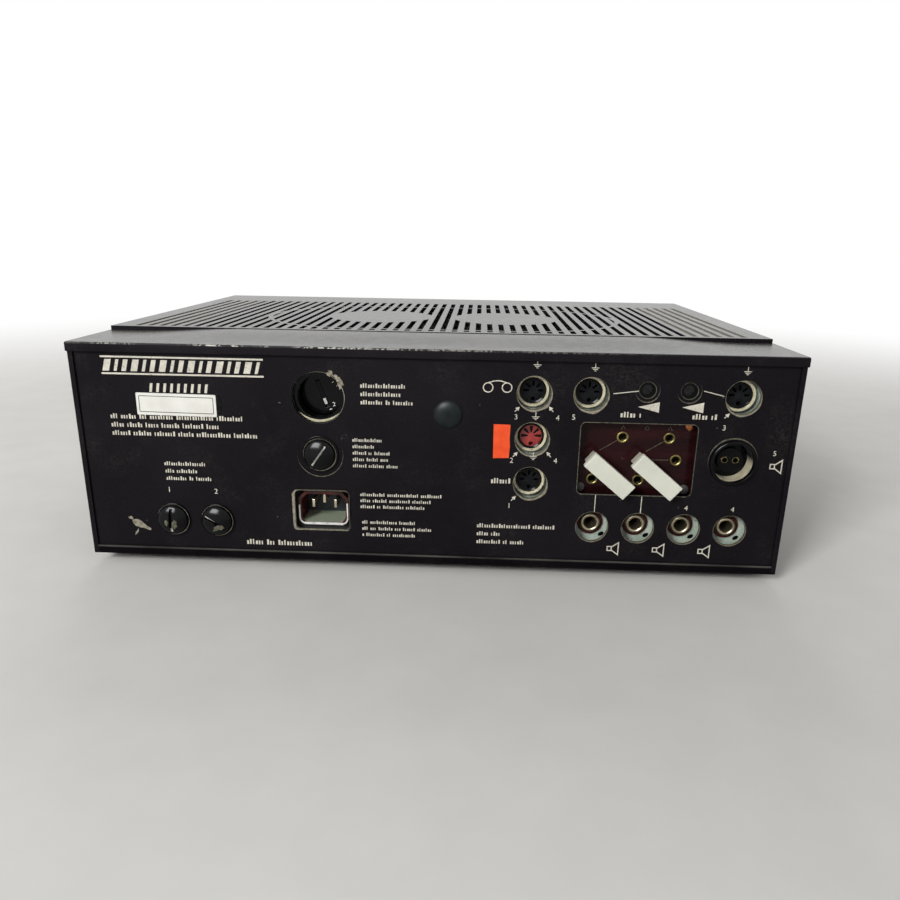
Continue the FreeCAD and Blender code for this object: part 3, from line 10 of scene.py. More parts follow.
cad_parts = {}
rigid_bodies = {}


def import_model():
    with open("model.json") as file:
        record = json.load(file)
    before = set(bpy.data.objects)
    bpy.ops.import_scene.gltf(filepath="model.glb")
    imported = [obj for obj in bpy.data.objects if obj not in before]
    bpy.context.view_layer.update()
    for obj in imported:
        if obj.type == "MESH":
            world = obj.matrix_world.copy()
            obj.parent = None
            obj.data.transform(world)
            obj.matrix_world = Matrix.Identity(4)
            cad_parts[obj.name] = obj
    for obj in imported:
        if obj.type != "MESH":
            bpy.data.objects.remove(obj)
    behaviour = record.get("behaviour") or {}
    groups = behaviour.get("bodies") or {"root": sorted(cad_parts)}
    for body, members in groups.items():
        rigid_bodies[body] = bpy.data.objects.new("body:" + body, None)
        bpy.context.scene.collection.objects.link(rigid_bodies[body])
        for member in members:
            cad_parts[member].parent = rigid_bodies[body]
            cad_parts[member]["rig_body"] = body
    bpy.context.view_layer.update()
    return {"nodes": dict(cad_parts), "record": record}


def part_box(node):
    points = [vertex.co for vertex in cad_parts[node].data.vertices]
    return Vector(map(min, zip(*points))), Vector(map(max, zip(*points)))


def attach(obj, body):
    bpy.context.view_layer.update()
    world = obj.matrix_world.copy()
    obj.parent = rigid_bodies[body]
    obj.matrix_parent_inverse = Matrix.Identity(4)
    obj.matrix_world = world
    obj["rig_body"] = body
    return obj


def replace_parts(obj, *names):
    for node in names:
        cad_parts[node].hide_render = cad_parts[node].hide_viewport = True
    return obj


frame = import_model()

bl_info = {
    "name": "Tube Amplifier",
    "version": (1, 0, 0),
    "blender": (4, 5, 0),
    "location": "3D View > Sidebar > Amplifier",
    "description": "Dresses the tube amplifier: enamel, print, sockets, wear, knobs and a pale stage",
    "category": "Object",
}

# The amplifier stands on z = 0 with its knobs towards -Y and its sockets towards +Y, in metres.
# What lies on a face is laid out flat in millimetres, as one reads that face: on the rear panel u
# runs to the reader's right from the middle, and v up from the lid's top; on the fascia u runs to
# the right as well, and v up from the floor.
MM = 0.001
# Points of a mesh that are closer than this, in metres, are one point.
MERGE = 1e-6

LID = np.array(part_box("lid"))
TRAY = np.array(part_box("bottom_tray"))
PANEL = np.array(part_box("rear_panel"))
GRILLE = np.array(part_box("vent_grille"))
FASCIA = np.array(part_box("front_fascia"))
LID_TOP = LID[1, 2]
REAR = {"sense": -1, "level": PANEL[1, 1], "base": LID_TOP}
FRONT = {"sense": 1, "level": FASCIA[0, 1], "base": 0.0}
OPENINGS = {room["name"]: np.array(room["box_m"]) for room in frame["record"]["physics"]["openings"]}
MOUNTS = {mount["name"]: mount for mount in frame["record"]["mounts"]}
# Dust thinly spread on a wall, and a pale grey in the grille's outer slots that is partly dust and partly
# painted light against the shade in them.
DULL_DUST, SLOT_DUST_AND_PAINTED_LIGHT = "#4d4a45", "#9b988c"


# ------------------------------------------------------------------------------- materials


def linear(code):
    """An sRGB hex colour as linear red, green and blue, with an alpha of 1."""
    parts = np.array([int(code[i : i + 2], 16) for i in (1, 3, 5)]) / 255
    parts = np.where(parts <= 0.04045, parts / 12.92, ((parts + 0.055) / 1.055) ** 2.4)
    return (*parts.tolist(), 1.0)


def add(tree, kind, feeds=None, **settings):
    """Adds one node: settings are its own, and feeds give each input a value, a node or an output."""
    made = tree.nodes.new("ShaderNode" + kind)
    for key, value in settings.items():
        setattr(made, key, value)
    for key, value in (feeds or {}).items():
        if isinstance(value, bpy.types.Node):
            value = value.outputs[0]
        if isinstance(value, bpy.types.NodeSocket):
            tree.links.new(value, made.inputs[key])
        else:
            made.inputs[key].default_value = value
    return made


def blotches(tree, size, low, high, stretch=(1, 1, 1), turn=(0, 0, 0), detail=4):
    """A mask of soft blotches size mm across: 0 where their noise is under low, 1 over high."""
    place = add(tree, "TexCoord").outputs["Object"]
    scale = [1 / (size * MM * k) for k in stretch]
    at = add(tree, "Mapping", {"Vector": place, "Rotation": turn})
    at = add(tree, "Mapping", {"Vector": at, "Scale": scale})
    noise = add(tree, "TexNoise", {"Vector": at, "Scale": 1, "Detail": detail})
    return add(tree, "MapRange", {0: noise, 1: low, 2: high})


def drift(tree, size, least, most, high=0.7):
    """A strength that drifts from least to most over soft blotches size mm across."""
    return add(tree, "MapRange", {0: blotches(tree, size, 0.3, high), 3: least, 4: most})


def rise(tree, axis, low, high, of="Object"):
    """A mask that goes from 0 at low to 1 at high along an axis, of places in metres or of normals."""
    along = add(tree, "SeparateXYZ", {0: add(tree, "TexCoord").outputs[of]}).outputs[axis]
    return add(tree, "MapRange", {0: along, 1: low, 2: high})


def settled(tree, low=0.6, high=0.95):
    """A mask that is there on what faces up, where dust settles and where light is painted from above."""
    return rise(tree, 2, low, high, "Normal")


def meet(tree, *masks):
    """A mask that is there only where all the masks are."""
    first, *others = masks
    for mask in others:
        first = add(tree, "Math", {0: first, 1: mask}, operation="MULTIPLY")
    return first


def lay(made, mask, code, rough=None, metal=None, strength=1.0):
    """Lays another substance over a material where the mask is, and returns the material."""
    tree = made.node_tree
    shader = tree.nodes["Principled BSDF"]
    mask = meet(tree, mask, strength)
    for socket, value in (("Base Color", linear(code)), ("Roughness", rough), ("Metallic", metal)):
        if value is None:
            continue
        entry = shader.inputs[socket]
        below = entry.links[0].from_socket if entry.links else entry.default_value
        if socket == "Base Color":
            over = add(tree, "Mix", {0: mask, 6: below, 7: value}, data_type="RGBA").outputs[2]
        else:
            over = add(tree, "Mix", {0: mask, 2: below, 3: value}).outputs[0]
        tree.links.new(over, entry)
    return made


def scratch(made, code, strength):
    """Lays fine straight scratches on a material in three directions."""
    for turn in (0.4, 1.25, 2.3):
        lines = blotches(made.node_tree, 0.3, 0.7, 0.75, (70, 1, 1), (0, turn, turn / 2), detail=1)
        lay(made, lines, code, 0.5, strength=strength)
    return made


def surface(name, dark, light, cloud, grain, rough, relief, stretch=(1, 1, 1), **sockets):
    """A material whose tone and gloss drift over clouds, with grains that stand up in relief.

    dark and light are its two tones, cloud and grain the sizes in mm of the drifts and of the
    grains, rough the range of its roughness, relief the height of the grains in mm, and stretch
    draws clouds and grains out along the three axes.  sockets are the shader's other values.
    """
    made = bpy.data.materials.new(name)
    made.use_nodes = True
    tree = made.node_tree
    shader = tree.nodes["Principled BSDF"]
    for socket, value in sockets.items():
        shader.inputs[socket.replace("_", " ")].default_value = value
    clouds = blotches(tree, cloud, 0.3, 0.7, stretch)
    grains = blotches(tree, grain, 0.25, 0.75, stretch, detail=3)
    speck = add(tree, "MapRange", {0: grains, 3: -0.3, 4: 0.3})
    blend = add(tree, "Math", {0: clouds, 1: speck}, use_clamp=True)
    low, high = (tone if isinstance(tone, tuple) else linear(tone) for tone in (dark, light))
    tone = add(tree, "Mix", {0: blend, 6: low, 7: high}, data_type="RGBA")
    gloss = add(tree, "MapRange", {0: clouds, 3: rough[0], 4: rough[1]})
    bump = add(tree, "Bump", {"Height": grains, "Distance": relief * MM})
    tree.links.new(tone.outputs[2], shader.inputs["Base Color"])
    tree.links.new(gloss.outputs[0], shader.inputs["Roughness"])
    tree.links.new(bump.outputs[0], shader.inputs["Normal"])
    return made


def tones(colour, spread):
    """A chosen colour's darker and lighter tones, spread apart by a share."""
    return [tuple(part * share for part in colour[:3]) + (1.0,) for share in (1 - spread, 1 + spread)]


def seen_directly(tree):
    """A mask of the rays that the camera, a reflection or glass sends out."""
    path = add(tree, "LightPath").outputs
    seen = add(tree, "Math", {0: path["Is Camera Ray"], 1: path["Is Glossy Ray"]})
    return add(tree, "Math", {0: seen, 1: path["Is Transmission Ray"]}, use_clamp=True)


def stove_enamel(name, depth=1.0):
    """Black stove enamel on sheet steel: satin, faintly orange-peeled, scuffed and a little dusty.

    It is black under a low gloss, so that it stays dark in a bright room; depth scales its tones.
    """
    look = bpy.context.scene.amplifier_look
    pair = tones([part * depth for part in look.enamel], 0.25)
    relief, gloss = look.peel / MM, 0.045 * depth
    coat = surface(name, *pair, 60, 0.9, (0.38, 0.5), relief, Specular_IOR_Level=gloss)
    scratch(coat, DULL_DUST, 0.2 * depth)
    tree = coat.node_tree
    dust = meet(tree, blotches(tree, 24, 0.52, 0.8), blotches(tree, 1.1, 0.4, 0.7))
    return lay(coat, dust, DULL_DUST, 0.7, strength=look.dust * depth)


def top_enamel(name):
    """The same enamel where it lies level: glossier, so it shines at a low angle, and dusty with a painted
    sheen.
    """
    look = bpy.context.scene.amplifier_look
    coat = stove_enamel(name)
    tree = coat.node_tree
    shader = tree.nodes["Principled BSDF"]
    level = settled(tree)
    rubbed = meet(tree, level, drift(tree, 5, 0.76, 0.92))
    tree.links.new(rubbed.outputs[0], shader.inputs["Coat Weight"])
    shader.inputs["Coat Roughness"].default_value = 0.27
    # Dust on the level faces, partly real and partly a painted sheen that greys the top.
    grit = drift(tree, 1.3, 0.35, 1.0, high=0.75)
    dust = meet(tree, level, drift(tree, 45, 0.5, 1.0), grit)
    return lay(coat, dust, "#8d8a80", 0.6, strength=look.settled)


def outer_slots(tree):
    """A mask past both ends of the lid's vent, where the grille's slots lie over solid lid."""
    left, right = OPENINGS["lid_vent_opening"][:, 0]
    past = add(tree, "Math", {0: rise(tree, 0, left, left - MM), 1: rise(tree, 0, right, right + MM)})
    inside = []
    for edge, inward in zip(GRILLE, (MM, -MM)):
        for axis in (0, 1):
            start = edge[axis] + 3 * inward
            inside.append(rise(tree, axis, start, start + inward))
    return meet(tree, past, *inside)


def grille_enamel(name):
    """The grille's enamel: dust and painted sheen on top, dust and painted light on its outer slots' walls.
    """
    coat = top_enamel(name)
    # Pale grey on the walls of the outer slots: dust, and painted light against their shade.
    slot_dust_and_painted_light = meet(coat.node_tree, outer_slots(coat.node_tree), settled(coat.node_tree, 0.5, 0.1))
    return lay(coat, slot_dust_and_painted_light, SLOT_DUST_AND_PAINTED_LIGHT, 0.7, strength=0.8)


def lid_enamel(name):
    """The lid's enamel: dust and painted sheen on top, dust and painted light under the grille's outer
    slots, and rubbed to grey metal in short runs of its rear edge.
    """
    coat = top_enamel(name)
    tree = coat.node_tree
    # Pale grey on the lid under the grille's outer slots: dust, and painted light against their shade.
    lay(coat, meet(tree, outer_slots(tree), settled(tree)), SLOT_DUST_AND_PAINTED_LIGHT, 0.7, strength=0.8)
    rear = rise(tree, 1, LID[1, 1] - 1.5 * MM, LID[1, 1] - 1.0 * MM)
    high = rise(tree, 2, LID_TOP - 1.0 * MM, LID_TOP - 0.6 * MM)
    flakes = (blotches(tree, 26, 0.38, 0.5), blotches(tree, 1.6, 0.46, 0.54), rise(tree, 0, -0.12, 0.05))
    return lay(coat, meet(tree, rear, high, meet(tree, *flakes)), "#a9a79f", 0.45, 0.3, 0.65)


def tray_enamel(name):
    """The tray's enamel, with a thin grey line along the upper edge of its lip: wear and a painted
    highlight.
    """
    coat = stove_enamel(name, 0.45)
    tree = coat.node_tree
    # The grey line on the lip's upper edge: rubbed wear, and a painted highlight.
    edge = rise(tree, 2, TRAY[1, 2] - 1.2 * MM, TRAY[1, 2] - 0.5 * MM)
    outer = rise(tree, 1, TRAY[1, 1] - 0.6 * MM, TRAY[1, 1] - 0.3 * MM)
    return lay(coat, meet(tree, edge, outer, drift(tree, 30, 0.1, 0.5)), "#77766f", 0.45, 0.3)


def passivated_sheet(name):
    """Zinc plated and passivated sheet: dull grey-green, spotted with brown by age."""
    sheet = surface(name, "#a6b6a6", "#c8d5c6", 9, 0.8, (0.42, 0.62), 0.01, Metallic=0.1)
    return lay(sheet, blotches(sheet.node_tree, 2.4, 0.6, 0.72), "#3a3426", 0.7, 0.2, 0.5)


def nickel_plate(name):
    """Nickel plate: warm grey, yellowed, with small dull spots."""
    plate = surface(name, "#8f8672", "#c6bda9", 3.5, 0.3, (0.2, 0.38), 0.004, Metallic=0.95)
    return lay(plate, blotches(plate.node_tree, 1.1, 0.6, 0.72), "#574e3b", 0.6, 0.5, 0.6)


def paper_laminate(name):
    """Phenolic paper laminate: glossy dark red-brown, with level fibres in it and fine scratches."""
    fibres = (7, 1, 1)
    board = surface(
        name, "#1a090b", "#2e1013", 6, 0.3, (0.14, 0.26), 0.004, fibres, Specular_IOR_Level=0.1
    )
    return scratch(board, "#7a5a54", 0.12)


def inlet_phenolic(name):
    """Moulded dark red-brown phenolic, its floor paled by painted light and its back darkened by painted
    shade.
    """
    shell = surface(name, "#260c0a", "#4a1813", 7, 0.4, (0.2, 0.4), 0.004, Specular_IOR_Level=0.25)
    tree = shell.node_tree
    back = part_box("inlet_blades")[0][1]
    # Painted shade at the back of the recess, behind the blades.
    lay(shell, rise(tree, 1, back + 0.3 * MM, back + 0.1 * MM), "#222a2c", 0.4)
    # Painted light on what faces up: the recess's floor laid pale grey-green.
    return lay(shell, settled(tree), "#8b957f", 0.6)


def socket_wall(name):
    """Cream urea in the large socket: yellowed and dusty, its upper half blackened by painted shade."""
    wall = surface(name, "#a39b80", "#d0c8ac", 5, 0.5, (0.4, 0.55), 0.006)
    middle = np.mean(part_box("line_socket"), axis=0)[2]
    # Painted shade: black over the wall's upper half, so that only a lower crescent stays cream.
    painted_shade_above = rise(wall.node_tree, 2, middle - 2 * MM, middle + 2.5 * MM)
    return lay(wall, painted_shade_above, "#0d0c0b", 0.5)


def screen_ink(name):
    """Off-white screen-printing ink, rubbed thin in places so that the enamel shows through."""
    pair = tones(bpy.context.scene.amplifier_look.ink, 0.12)
    ink = surface(name, *pair, 6, 0.5, (0.5, 0.62), 0.002, Specular_IOR_Level=0.2)
    return lay(ink, blotches(ink.node_tree, 0.8, 0.6, 0.72), "#3d3a38", strength=0.7)


def laminations(name):
    """A stack of varnished half-millimetre iron laminations, a fine dark line between each pair."""
    iron = surface(name, "#2b2724", "#4a423a", 12, 0.6, (0.45, 0.65), 0.01, Metallic=0.3)
    tree = iron.node_tree
    place = add(tree, "TexCoord").outputs["Object"]
    bands = 1 / (20 * 0.5 * MM)
    wave = add(tree, "TexWave", {0: place, "Scale": bands, "Distortion": 0.3}, bands_direction="Y")
    line = add(tree, "MapRange", {0: wave.outputs[1], 1: 0.12, 2: 0.02})
    return lay(iron, line, "#14110f", 0.8)


def cartridge_glass(name):
    """A drawn glass tube between two nickel ferrules, told apart along the fuse's length."""
    low, high = np.array(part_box("mains_fuse_cartridge"))[:, 1]
    glass = surface(name, "#cfd2cf", "#e4e6e2", 4, 0.4, (0.04, 0.08), 0.001)
    tree = glass.node_tree
    inner = rise(tree, 1, low + 5.1 * MM, low + 5 * MM)
    outer = rise(tree, 1, high - 5.1 * MM, high - 5 * MM)
    metal = add(tree, "Math", {0: inner, 1: outer}, use_clamp=True)
    clear = add(tree, "Math", {0: 0.9, 1: metal}, operation="SUBTRACT", use_clamp=True)
    tree.links.new(clear.outputs[0], tree.nodes["Principled BSDF"].inputs["Transmission Weight"])
    return lay(glass, metal, "#b7b1a3", 0.25, 0.95)


def yellowed_polystyrene(name):
    """Moulded white polystyrene: smooth, slightly yellowed, with grime rubbed into it, and darker olive
    nearer the board.
    """
    pair = tones(bpy.context.scene.amplifier_look.links, 0.05)
    shell = surface(name, *pair, 14, 0.6, (0.34, 0.46), 0.004, Specular_IOR_Level=0.2)
    tree = shell.node_tree
    lay(shell, blotches(tree, 7, 0.6, 0.8), "#a79f8c", 0.5, strength=0.35)
    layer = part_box("left_link")[1][1] - 3.3 * MM
    return lay(shell, rise(tree, 1, layer, layer - 0.2 * MM), "#8f8a72", 0.55, strength=0.6)


def stage_paper(name):
    """Pale matt paper that fades into the white surround away from the amplifier."""
    paper = surface(name, "#d9d7d2", "#e2e0db", 400, 30, (0.7, 0.8), 0.01)
    tree = paper.node_tree
    place = add(tree, "TexCoord").outputs["Object"]
    reach = add(tree, "VectorMath", {0: place}, operation="LENGTH").outputs["Value"]
    far = add(tree, "MapRange", {0: reach, 1: 0.42, 2: 1.3}, interpolation_type="SMOOTHSTEP")
    white = add(tree, "Emission", {"Color": linear("#ffffff")})
    fade = meet(tree, far, seen_directly(tree))
    blend = add(tree, "MixShader", {0: fade, 1: tree.nodes["Principled BSDF"], 2: white})
    tree.links.new(blend.outputs[0], tree.nodes["Material Output"].inputs["Surface"])
    return paper


METAL, GLOSS, CLEAR = "Metallic", "Specular_IOR_Level", "Transmission_Weight"
# Finishes without layers, each with what surface() takes: dark tone, light tone, cloud mm, grain mm,
# roughness, relief mm, for brushed or wound ones the stretch, and the shader's other values.
PLAIN = {
    # electroplated zinc on pressed steel: bluish grey with a soft sheen
    "zinc_plate": ("#8f8d86", "#b9b7ae", 5, 0.4, (0.28, 0.45), 0.006, {METAL: 0.9}),
    # aluminium sheet brushed along its length and anodised: fine level lines and a soft streak
    "grained_aluminium": ("#9c9a94", "#bbb9b2", 0.5, 0.25, (0.3, 0.42), 0.005, (220, 1, 1), {METAL: 0.9}),
    # polished chromium plate: bright, nearly a mirror
    "chromium_plate": ("#b9b8b4", "#d6d5d1", 8, 0.5, (0.06, 0.14), 0.001, {METAL: 1.0}),
    # sheet steel bared by wear, with primer left in its pores: dull beige
    "bared_steel": ("#5c584b", "#938c79", 1.8, 0.35, (0.4, 0.6), 0.012, {METAL: 0.2}),
    # moulded black phenolic: deep black under a hard gloss
    "black_phenolic": ("#040405", "#0a0a0c", 9, 0.5, (0.11, 0.18), 0.001, {GLOSS: 0.1}),
    # moulded black phenolic worn by handling: its lights are wider and softer
    "worn_phenolic": ("#060608", "#0c0c0f", 9, 0.5, (0.17, 0.22), 0.001, {GLOSS: 0.13}),
    # moulded brown phenolic: dull red-brown, mottled by its filler
    "brown_phenolic": ("#3a0f0c", "#5c1c16", 7, 0.4, (0.25, 0.45), 0.004, {GLOSS: 0.25}),
    # moulded red urea: opaque red, half dull
    "red_urea": ("#7d1713", "#a82a22", 3, 0.4, (0.3, 0.45), 0.004, {}),
    # moulded insert phenolic: black, hazy, with paler smudges
    "socket_phenolic": ("#08090b", "#191b1d", 3, 0.5, (0.25, 0.4), 0.004, {GLOSS: 0.08}),
    # moulded polyethylene plug: bluish black, with a soft sheen
    "polyethylene": ("#15191b", "#1f2426", 6, 0.6, (0.34, 0.42), 0.004, {GLOSS: 0.1}),
    # moulded knob phenolic: black, with the even sheen of what is handled
    "knob_phenolic": ("#0b0b0d", "#171618", 8, 0.5, (0.2, 0.34), 0.004, {GLOSS: 0.2}),
    # moulded rubber: dull, near black, finely pitted
    "moulded_rubber": ("#131313", "#232221", 6, 0.35, (0.7, 0.85), 0.03, {}),
    # waxed paper wound round a coil: tan, with the edges of its turns showing as level lines
    "waxed_paper": ("#8a7448", "#b79e66", 10, 1.2, (0.45, 0.62), 0.05, (4, 4, 1), {}),
    # blown glass of a tube's bulb: clear, faintly grey
    "blown_glass": ("#d6dad8", "#eef0ee", 20, 2, (0.02, 0.05), 0.001, {CLEAR: 0.92}),
    # drawn aluminium can: pale grey with a soft gloss
    "drawn_aluminium": ("#9a9a97", "#bdbdb9", 12, 0.3, (0.28, 0.4), 0.006, {METAL: 0.95}),
    # dipped lacquer of capacitors and resistors: ochre, half gloss
    "dipped_lacquer": ("#8a4f1e", "#b7752f", 9, 0.8, (0.35, 0.5), 0.01, {}),
    # rolled brass eyelet: yellow metal, browned in its hollows
    "rolled_brass": ("#4f492c", "#83774a", 2.5, 0.3, (0.3, 0.44), 0.003, {METAL: 0.95}),
    # moulded amber acrylic of a pilot lens: clear orange, glossy
    "amber_acrylic": ("#c2470e", "#e0701c", 3, 0.5, (0.05, 0.12), 0.002, {CLEAR: 0.6}),
    # gummed label paper: white, dull, faintly mottled
    "label_paper": ("#d6d4cc", "#e6e5df", 12, 0.4, (0.5, 0.65), 0.006, {GLOSS: 0.2}),
    # enamel scuffed thin over primer: dim olive grey
    "scuffed_primer": ("#3b392f", "#6d6a58", 1.6, 0.35, (0.5, 0.65), 0.008, {GLOSS: 0.2}),
    # cream enamel baked on a socket's rim, and the selector's crescent of painted light: pale, half gloss
    "rim_enamel": ("#b5ae90", "#ddd6b8", 3, 0.3, (0.2, 0.35), 0.003, {}),
    # polished nickel of a jack's mouth: warm and bright, with fine wear
    "polished_nickel": ("#7f7764", "#a0977f", 5, 4, (0.3, 0.36), 0.0005, {METAL: 0.9}),
    # vulcanised fibre washer: dull dark red
    "vulcan_fibre": ("#2c0b09", "#4a1511", 3, 0.3, (0.45, 0.6), 0.01, {GLOSS: 0.15}),
    # tinned band laid nearly white as a painted highlight, half gloss
    "bright_tin": ("#bdbdbb", "#ecece9", 4, 0.3, (0.25, 0.35), 0.003, {METAL: 0.2}),
    # floor and edges of a slot rubbed pale by a screwdriver, and a painted highlight in the selector's slot
    "worn_slot": ("#9c9b93", "#c9c8bf", 1.5, 0.3, (0.3, 0.45), 0.01, {METAL: 0.2}),
    # polished copper rivet head
    "copper": ("#7d4a2c", "#b0714a", 2, 0.3, (0.25, 0.4), 0.004, {METAL: 1.0}),
    # printer's black on paper
    "label_ink": ("#15130f", "#262320", 4, 0.4, (0.5, 0.6), 0.002, {}),
    # old glue darkened by dirt, and painted shade in holes, slots and grooves: black, smooth
    "old_glue": ("#060607", "#100f11", 3, 0.5, (0.2, 0.3), 0.004, {GLOSS: 0.08}),
    # fluorescent orange sticker paper: dull, very bright
    "orange_paper": ("#e2481a", "#f25a2b", 5, 0.5, (0.5, 0.62), 0.01, {GLOSS: 0.15}),
}
LAYERED = {
    made.__name__: made
    for made in (
        stove_enamel, grille_enamel, lid_enamel, tray_enamel, passivated_sheet, nickel_plate,
        paper_laminate, inlet_phenolic, socket_wall, screen_ink, laminations, cartridge_glass,
        yellowed_polystyrene, stage_paper,
    )
}


def finish(name):
    """The named finish's material, made the first time that it is asked for."""
    found = bpy.data.materials.get(name)
    if found:
        return found
    if name in LAYERED:
        return LAYERED[name](name)
    *values, sockets = PLAIN[name]
    return surface(name, *values, **sockets)


# ------------------------------------------------------------------------------- pieces


def face_of(node):
    """The outward face of one of the rear panel's fittings, laid out as the panel is."""
    return {**REAR, "level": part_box(node)[1][1]}


def dress(finish_name, *nodes):
    """Gives CAD nodes a finish in place of the record's plain colour."""
    for node in nodes:
        slots = frame["nodes"][node].data.materials
        for index in range(len(slots)):
            slots[index] = finish(finish_name)


def link(made):
    """Puts an object in the scene and returns it."""
    bpy.context.scene.collection.objects.link(made)
    return made


def show(name, mesh, finish_name, body, smooth=35):
    """Makes a mesh a shown piece: smooth below an angle, in its finish, riding on a body."""
    mesh.polygons.foreach_set("use_smooth", np.ones(len(mesh.polygons), bool))
    mesh.set_sharp_from_angle(angle=math.radians(smooth))
    mesh.materials.clear()
    mesh.materials.append(finish(finish_name))
    made = link(bpy.data.objects.new(name, mesh))
    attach(made, body)
    return made


def sheet_mesh(name, points, faces):
    """A mesh from points in metres and faces, each a row of point numbers."""
    mesh = bpy.data.meshes.new(name)
    mesh.from_pydata(np.asarray(points, float).reshape(-1, 3).tolist(), [], faces)
    return mesh


def cells(number):
    """The faces of a grid, from the grid of its points' numbers."""
    return np.stack([number[:-1, :-1], number[1:, :-1], number[1:, 1:], number[:-1, 1:]], -1)


def strips(rows):
    """Closed strips of faces, each between a row of points' numbers and the next row."""
    return [np.stack([p, q, np.roll(q, -1), np.roll(p, -1)], 1) for p, q in zip(rows, rows[1:])]


def softened(finish_name, width, *nodes):
    """Merged copies of CAD nodes with their edges broken by width mm, shown in their place."""
    flat, crease = math.radians(0.5), math.radians(40)
    for node in nodes:
        source = frame["nodes"][node]
        shape = bmesh.new()
        shape.from_mesh(source.data)
        bmesh.ops.remove_doubles(shape, verts=shape.verts, dist=MERGE)
        bmesh.ops.dissolve_limit(shape, angle_limit=flat, verts=shape.verts, edges=shape.edges)
        mesh = bpy.data.meshes.new(node + "_soft")
        shape.to_mesh(mesh)
        shape.free()
        made = show(node + "_soft", mesh, finish_name, source["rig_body"], 30)
        edge = made.modifiers.new("broken_edges", "BEVEL")
        edge.width = width * MM
        edge.segments = 2
        edge.limit_method = "ANGLE"
        edge.angle_limit = crease
        edge.harden_normals = True
        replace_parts(made, node)


# ------------------------------------------------------------------------------- flat work


def circle(centre, radius, count=48):
    """A closed ring of points: centre + radius (cos a, sin a), with a from 0 to a full turn."""
    turn = np.arange(count) * 2 * np.pi / count
    return np.array(centre) + radius * np.stack([np.cos(turn), np.sin(turn)], 1)


def rounded(centre, width, height, radius, count=8):
    """A closed rectangle whose corners are quarter circles, from the right end of its lower side."""
    turn = np.linspace(0, np.pi / 2, count)
    arc = radius * np.stack([np.cos(turn), np.sin(turn)], 1)
    quarter = np.array([[0, -1], [1, 0]])
    points = []
    spin = quarter @ quarter @ quarter
    for across, up in ((1, -1), (1, 1), (-1, 1), (-1, -1)):
        corner = np.array([across * (width / 2 - radius), up * (height / 2 - radius)])
        points.append(corner + arc @ spin.T)
        spin = quarter @ spin
    return np.array(centre) + np.vstack(points)


def ragged(count, least, most, seed):
    """A closed row of widths from least to most: a sum of ten seeded waves, squared."""
    draw = np.random.default_rng(seed)
    turn = np.arange(count)[:, None] * 2 * np.pi / count
    wave = np.arange(1, 11)
    sums = (np.sin(wave * turn + draw.uniform(0, 6.3, 10)) / wave**0.6 * draw.uniform(0.4, 1, 10)).sum(1)
    share = (sums - sums.min()) / np.ptp(sums)
    return least + (most - least) * share**2


def margin(contour, width):
    """A band laid outside a closed contour: quads from it to it plus its outward normal x width."""
    step = np.roll(contour, -1, 0) - np.roll(contour, 1, 0)
    out = np.stack([step[:, 1], -step[:, 0]], 1)
    out /= np.linalg.norm(out, axis=1, keepdims=True)
    edge = contour + out * np.broadcast_to(width, len(contour))[:, None]
    return list(np.stack([contour, edge, np.roll(edge, -1, 0), np.roll(contour, -1, 0)], 1))


def stroke(points, width, closed=False):
    """A line of even width through points, mitred where it turns, as one quad a stretch."""
    path = np.asarray(points, float)
    before = np.roll(path, 1, 0)
    after = np.roll(path, -1, 0)
    if not closed:
        before[0] = 2 * path[0] - path[1]
        after[-1] = 2 * path[-1] - path[-2]
    sides = []
    for step in (path - before, after - path):
        step = step / np.linalg.norm(step, axis=1, keepdims=True)
        sides.append(np.stack([-step[:, 1], step[:, 0]], 1))
    mitre = sides[0] + sides[1]
    mitre /= (mitre * sides[1]).sum(1, keepdims=True)
    left = path + mitre * width / 2
    right = path - mitre * width / 2
    quads = np.stack([right, np.roll(right, -1, 0), np.roll(left, -1, 0), left], 1)
    return list(quads if closed else quads[:-1])


def bar(u, v, width, height, lean=0.0):
    """An upright bar with its lower left corner at (u, v), its top pushed along by lean."""
    return np.array([[u, v], [u + width, v], [u + width + lean, v + height], [u + lean, v + height]])


def caption(u, v, words, height, pitch):
    """A row of upright ticks of three widths, grouped by the numbers in words, some of them taller."""
    ticks = []
    for count in words:
        for _ in range(count):
            index = len(ticks) + 1
            tall = 1.4 if index % 5 == 2 or index % 7 == 3 else 1.0
            width = pitch * (0.42, 0.66, 0.54)[index % 3]
            ticks.append(bar(u, v, width, height * tall))
            u += pitch
        u += pitch * 0.9
    return ticks


def numeral(text, centre, height):
    """A plain number, ON or OFF centred on a point, in the built-in typeface, as flat polygons."""
    curve = bpy.data.curves.new("numeral", "FONT")
    curve.body = text
    curve.size = 1
    holder = bpy.data.objects.new("numeral", curve)
    mesh = bpy.data.meshes.new_from_object(holder)
    points = np.empty(len(mesh.vertices) * 3)
    mesh.vertices.foreach_get("co", points)
    points = points.reshape(-1, 3)[:, :2]
    low, high = points.min(0), points.max(0)
    points = (points - (low + high) / 2) * height / (high[1] - low[1]) + np.array(centre)
    shapes = [points[list(face.vertices)] for face in mesh.polygons]
    bpy.data.objects.remove(holder)
    bpy.data.curves.remove(curve)
    bpy.data.meshes.remove(mesh)
    return shapes


def placed(shapes, angle, at):
    """Flat polygons turned about the origin by an angle in degrees, then moved to a place."""
    cos, sin = math.cos(math.radians(angle)), math.sin(math.radians(angle))
    turn = np.array([[cos, sin], [-sin, cos]])
    return [shape @ turn + np.array(at) for shape in shapes]


def onto(face, across, up, height):
    """Points in metres from places on a face and heights over it, in mm."""
    level = face["level"] - face["sense"] * height * MM
    return np.stack([face["sense"] * across * MM, level, face["base"] + up * MM], -1)


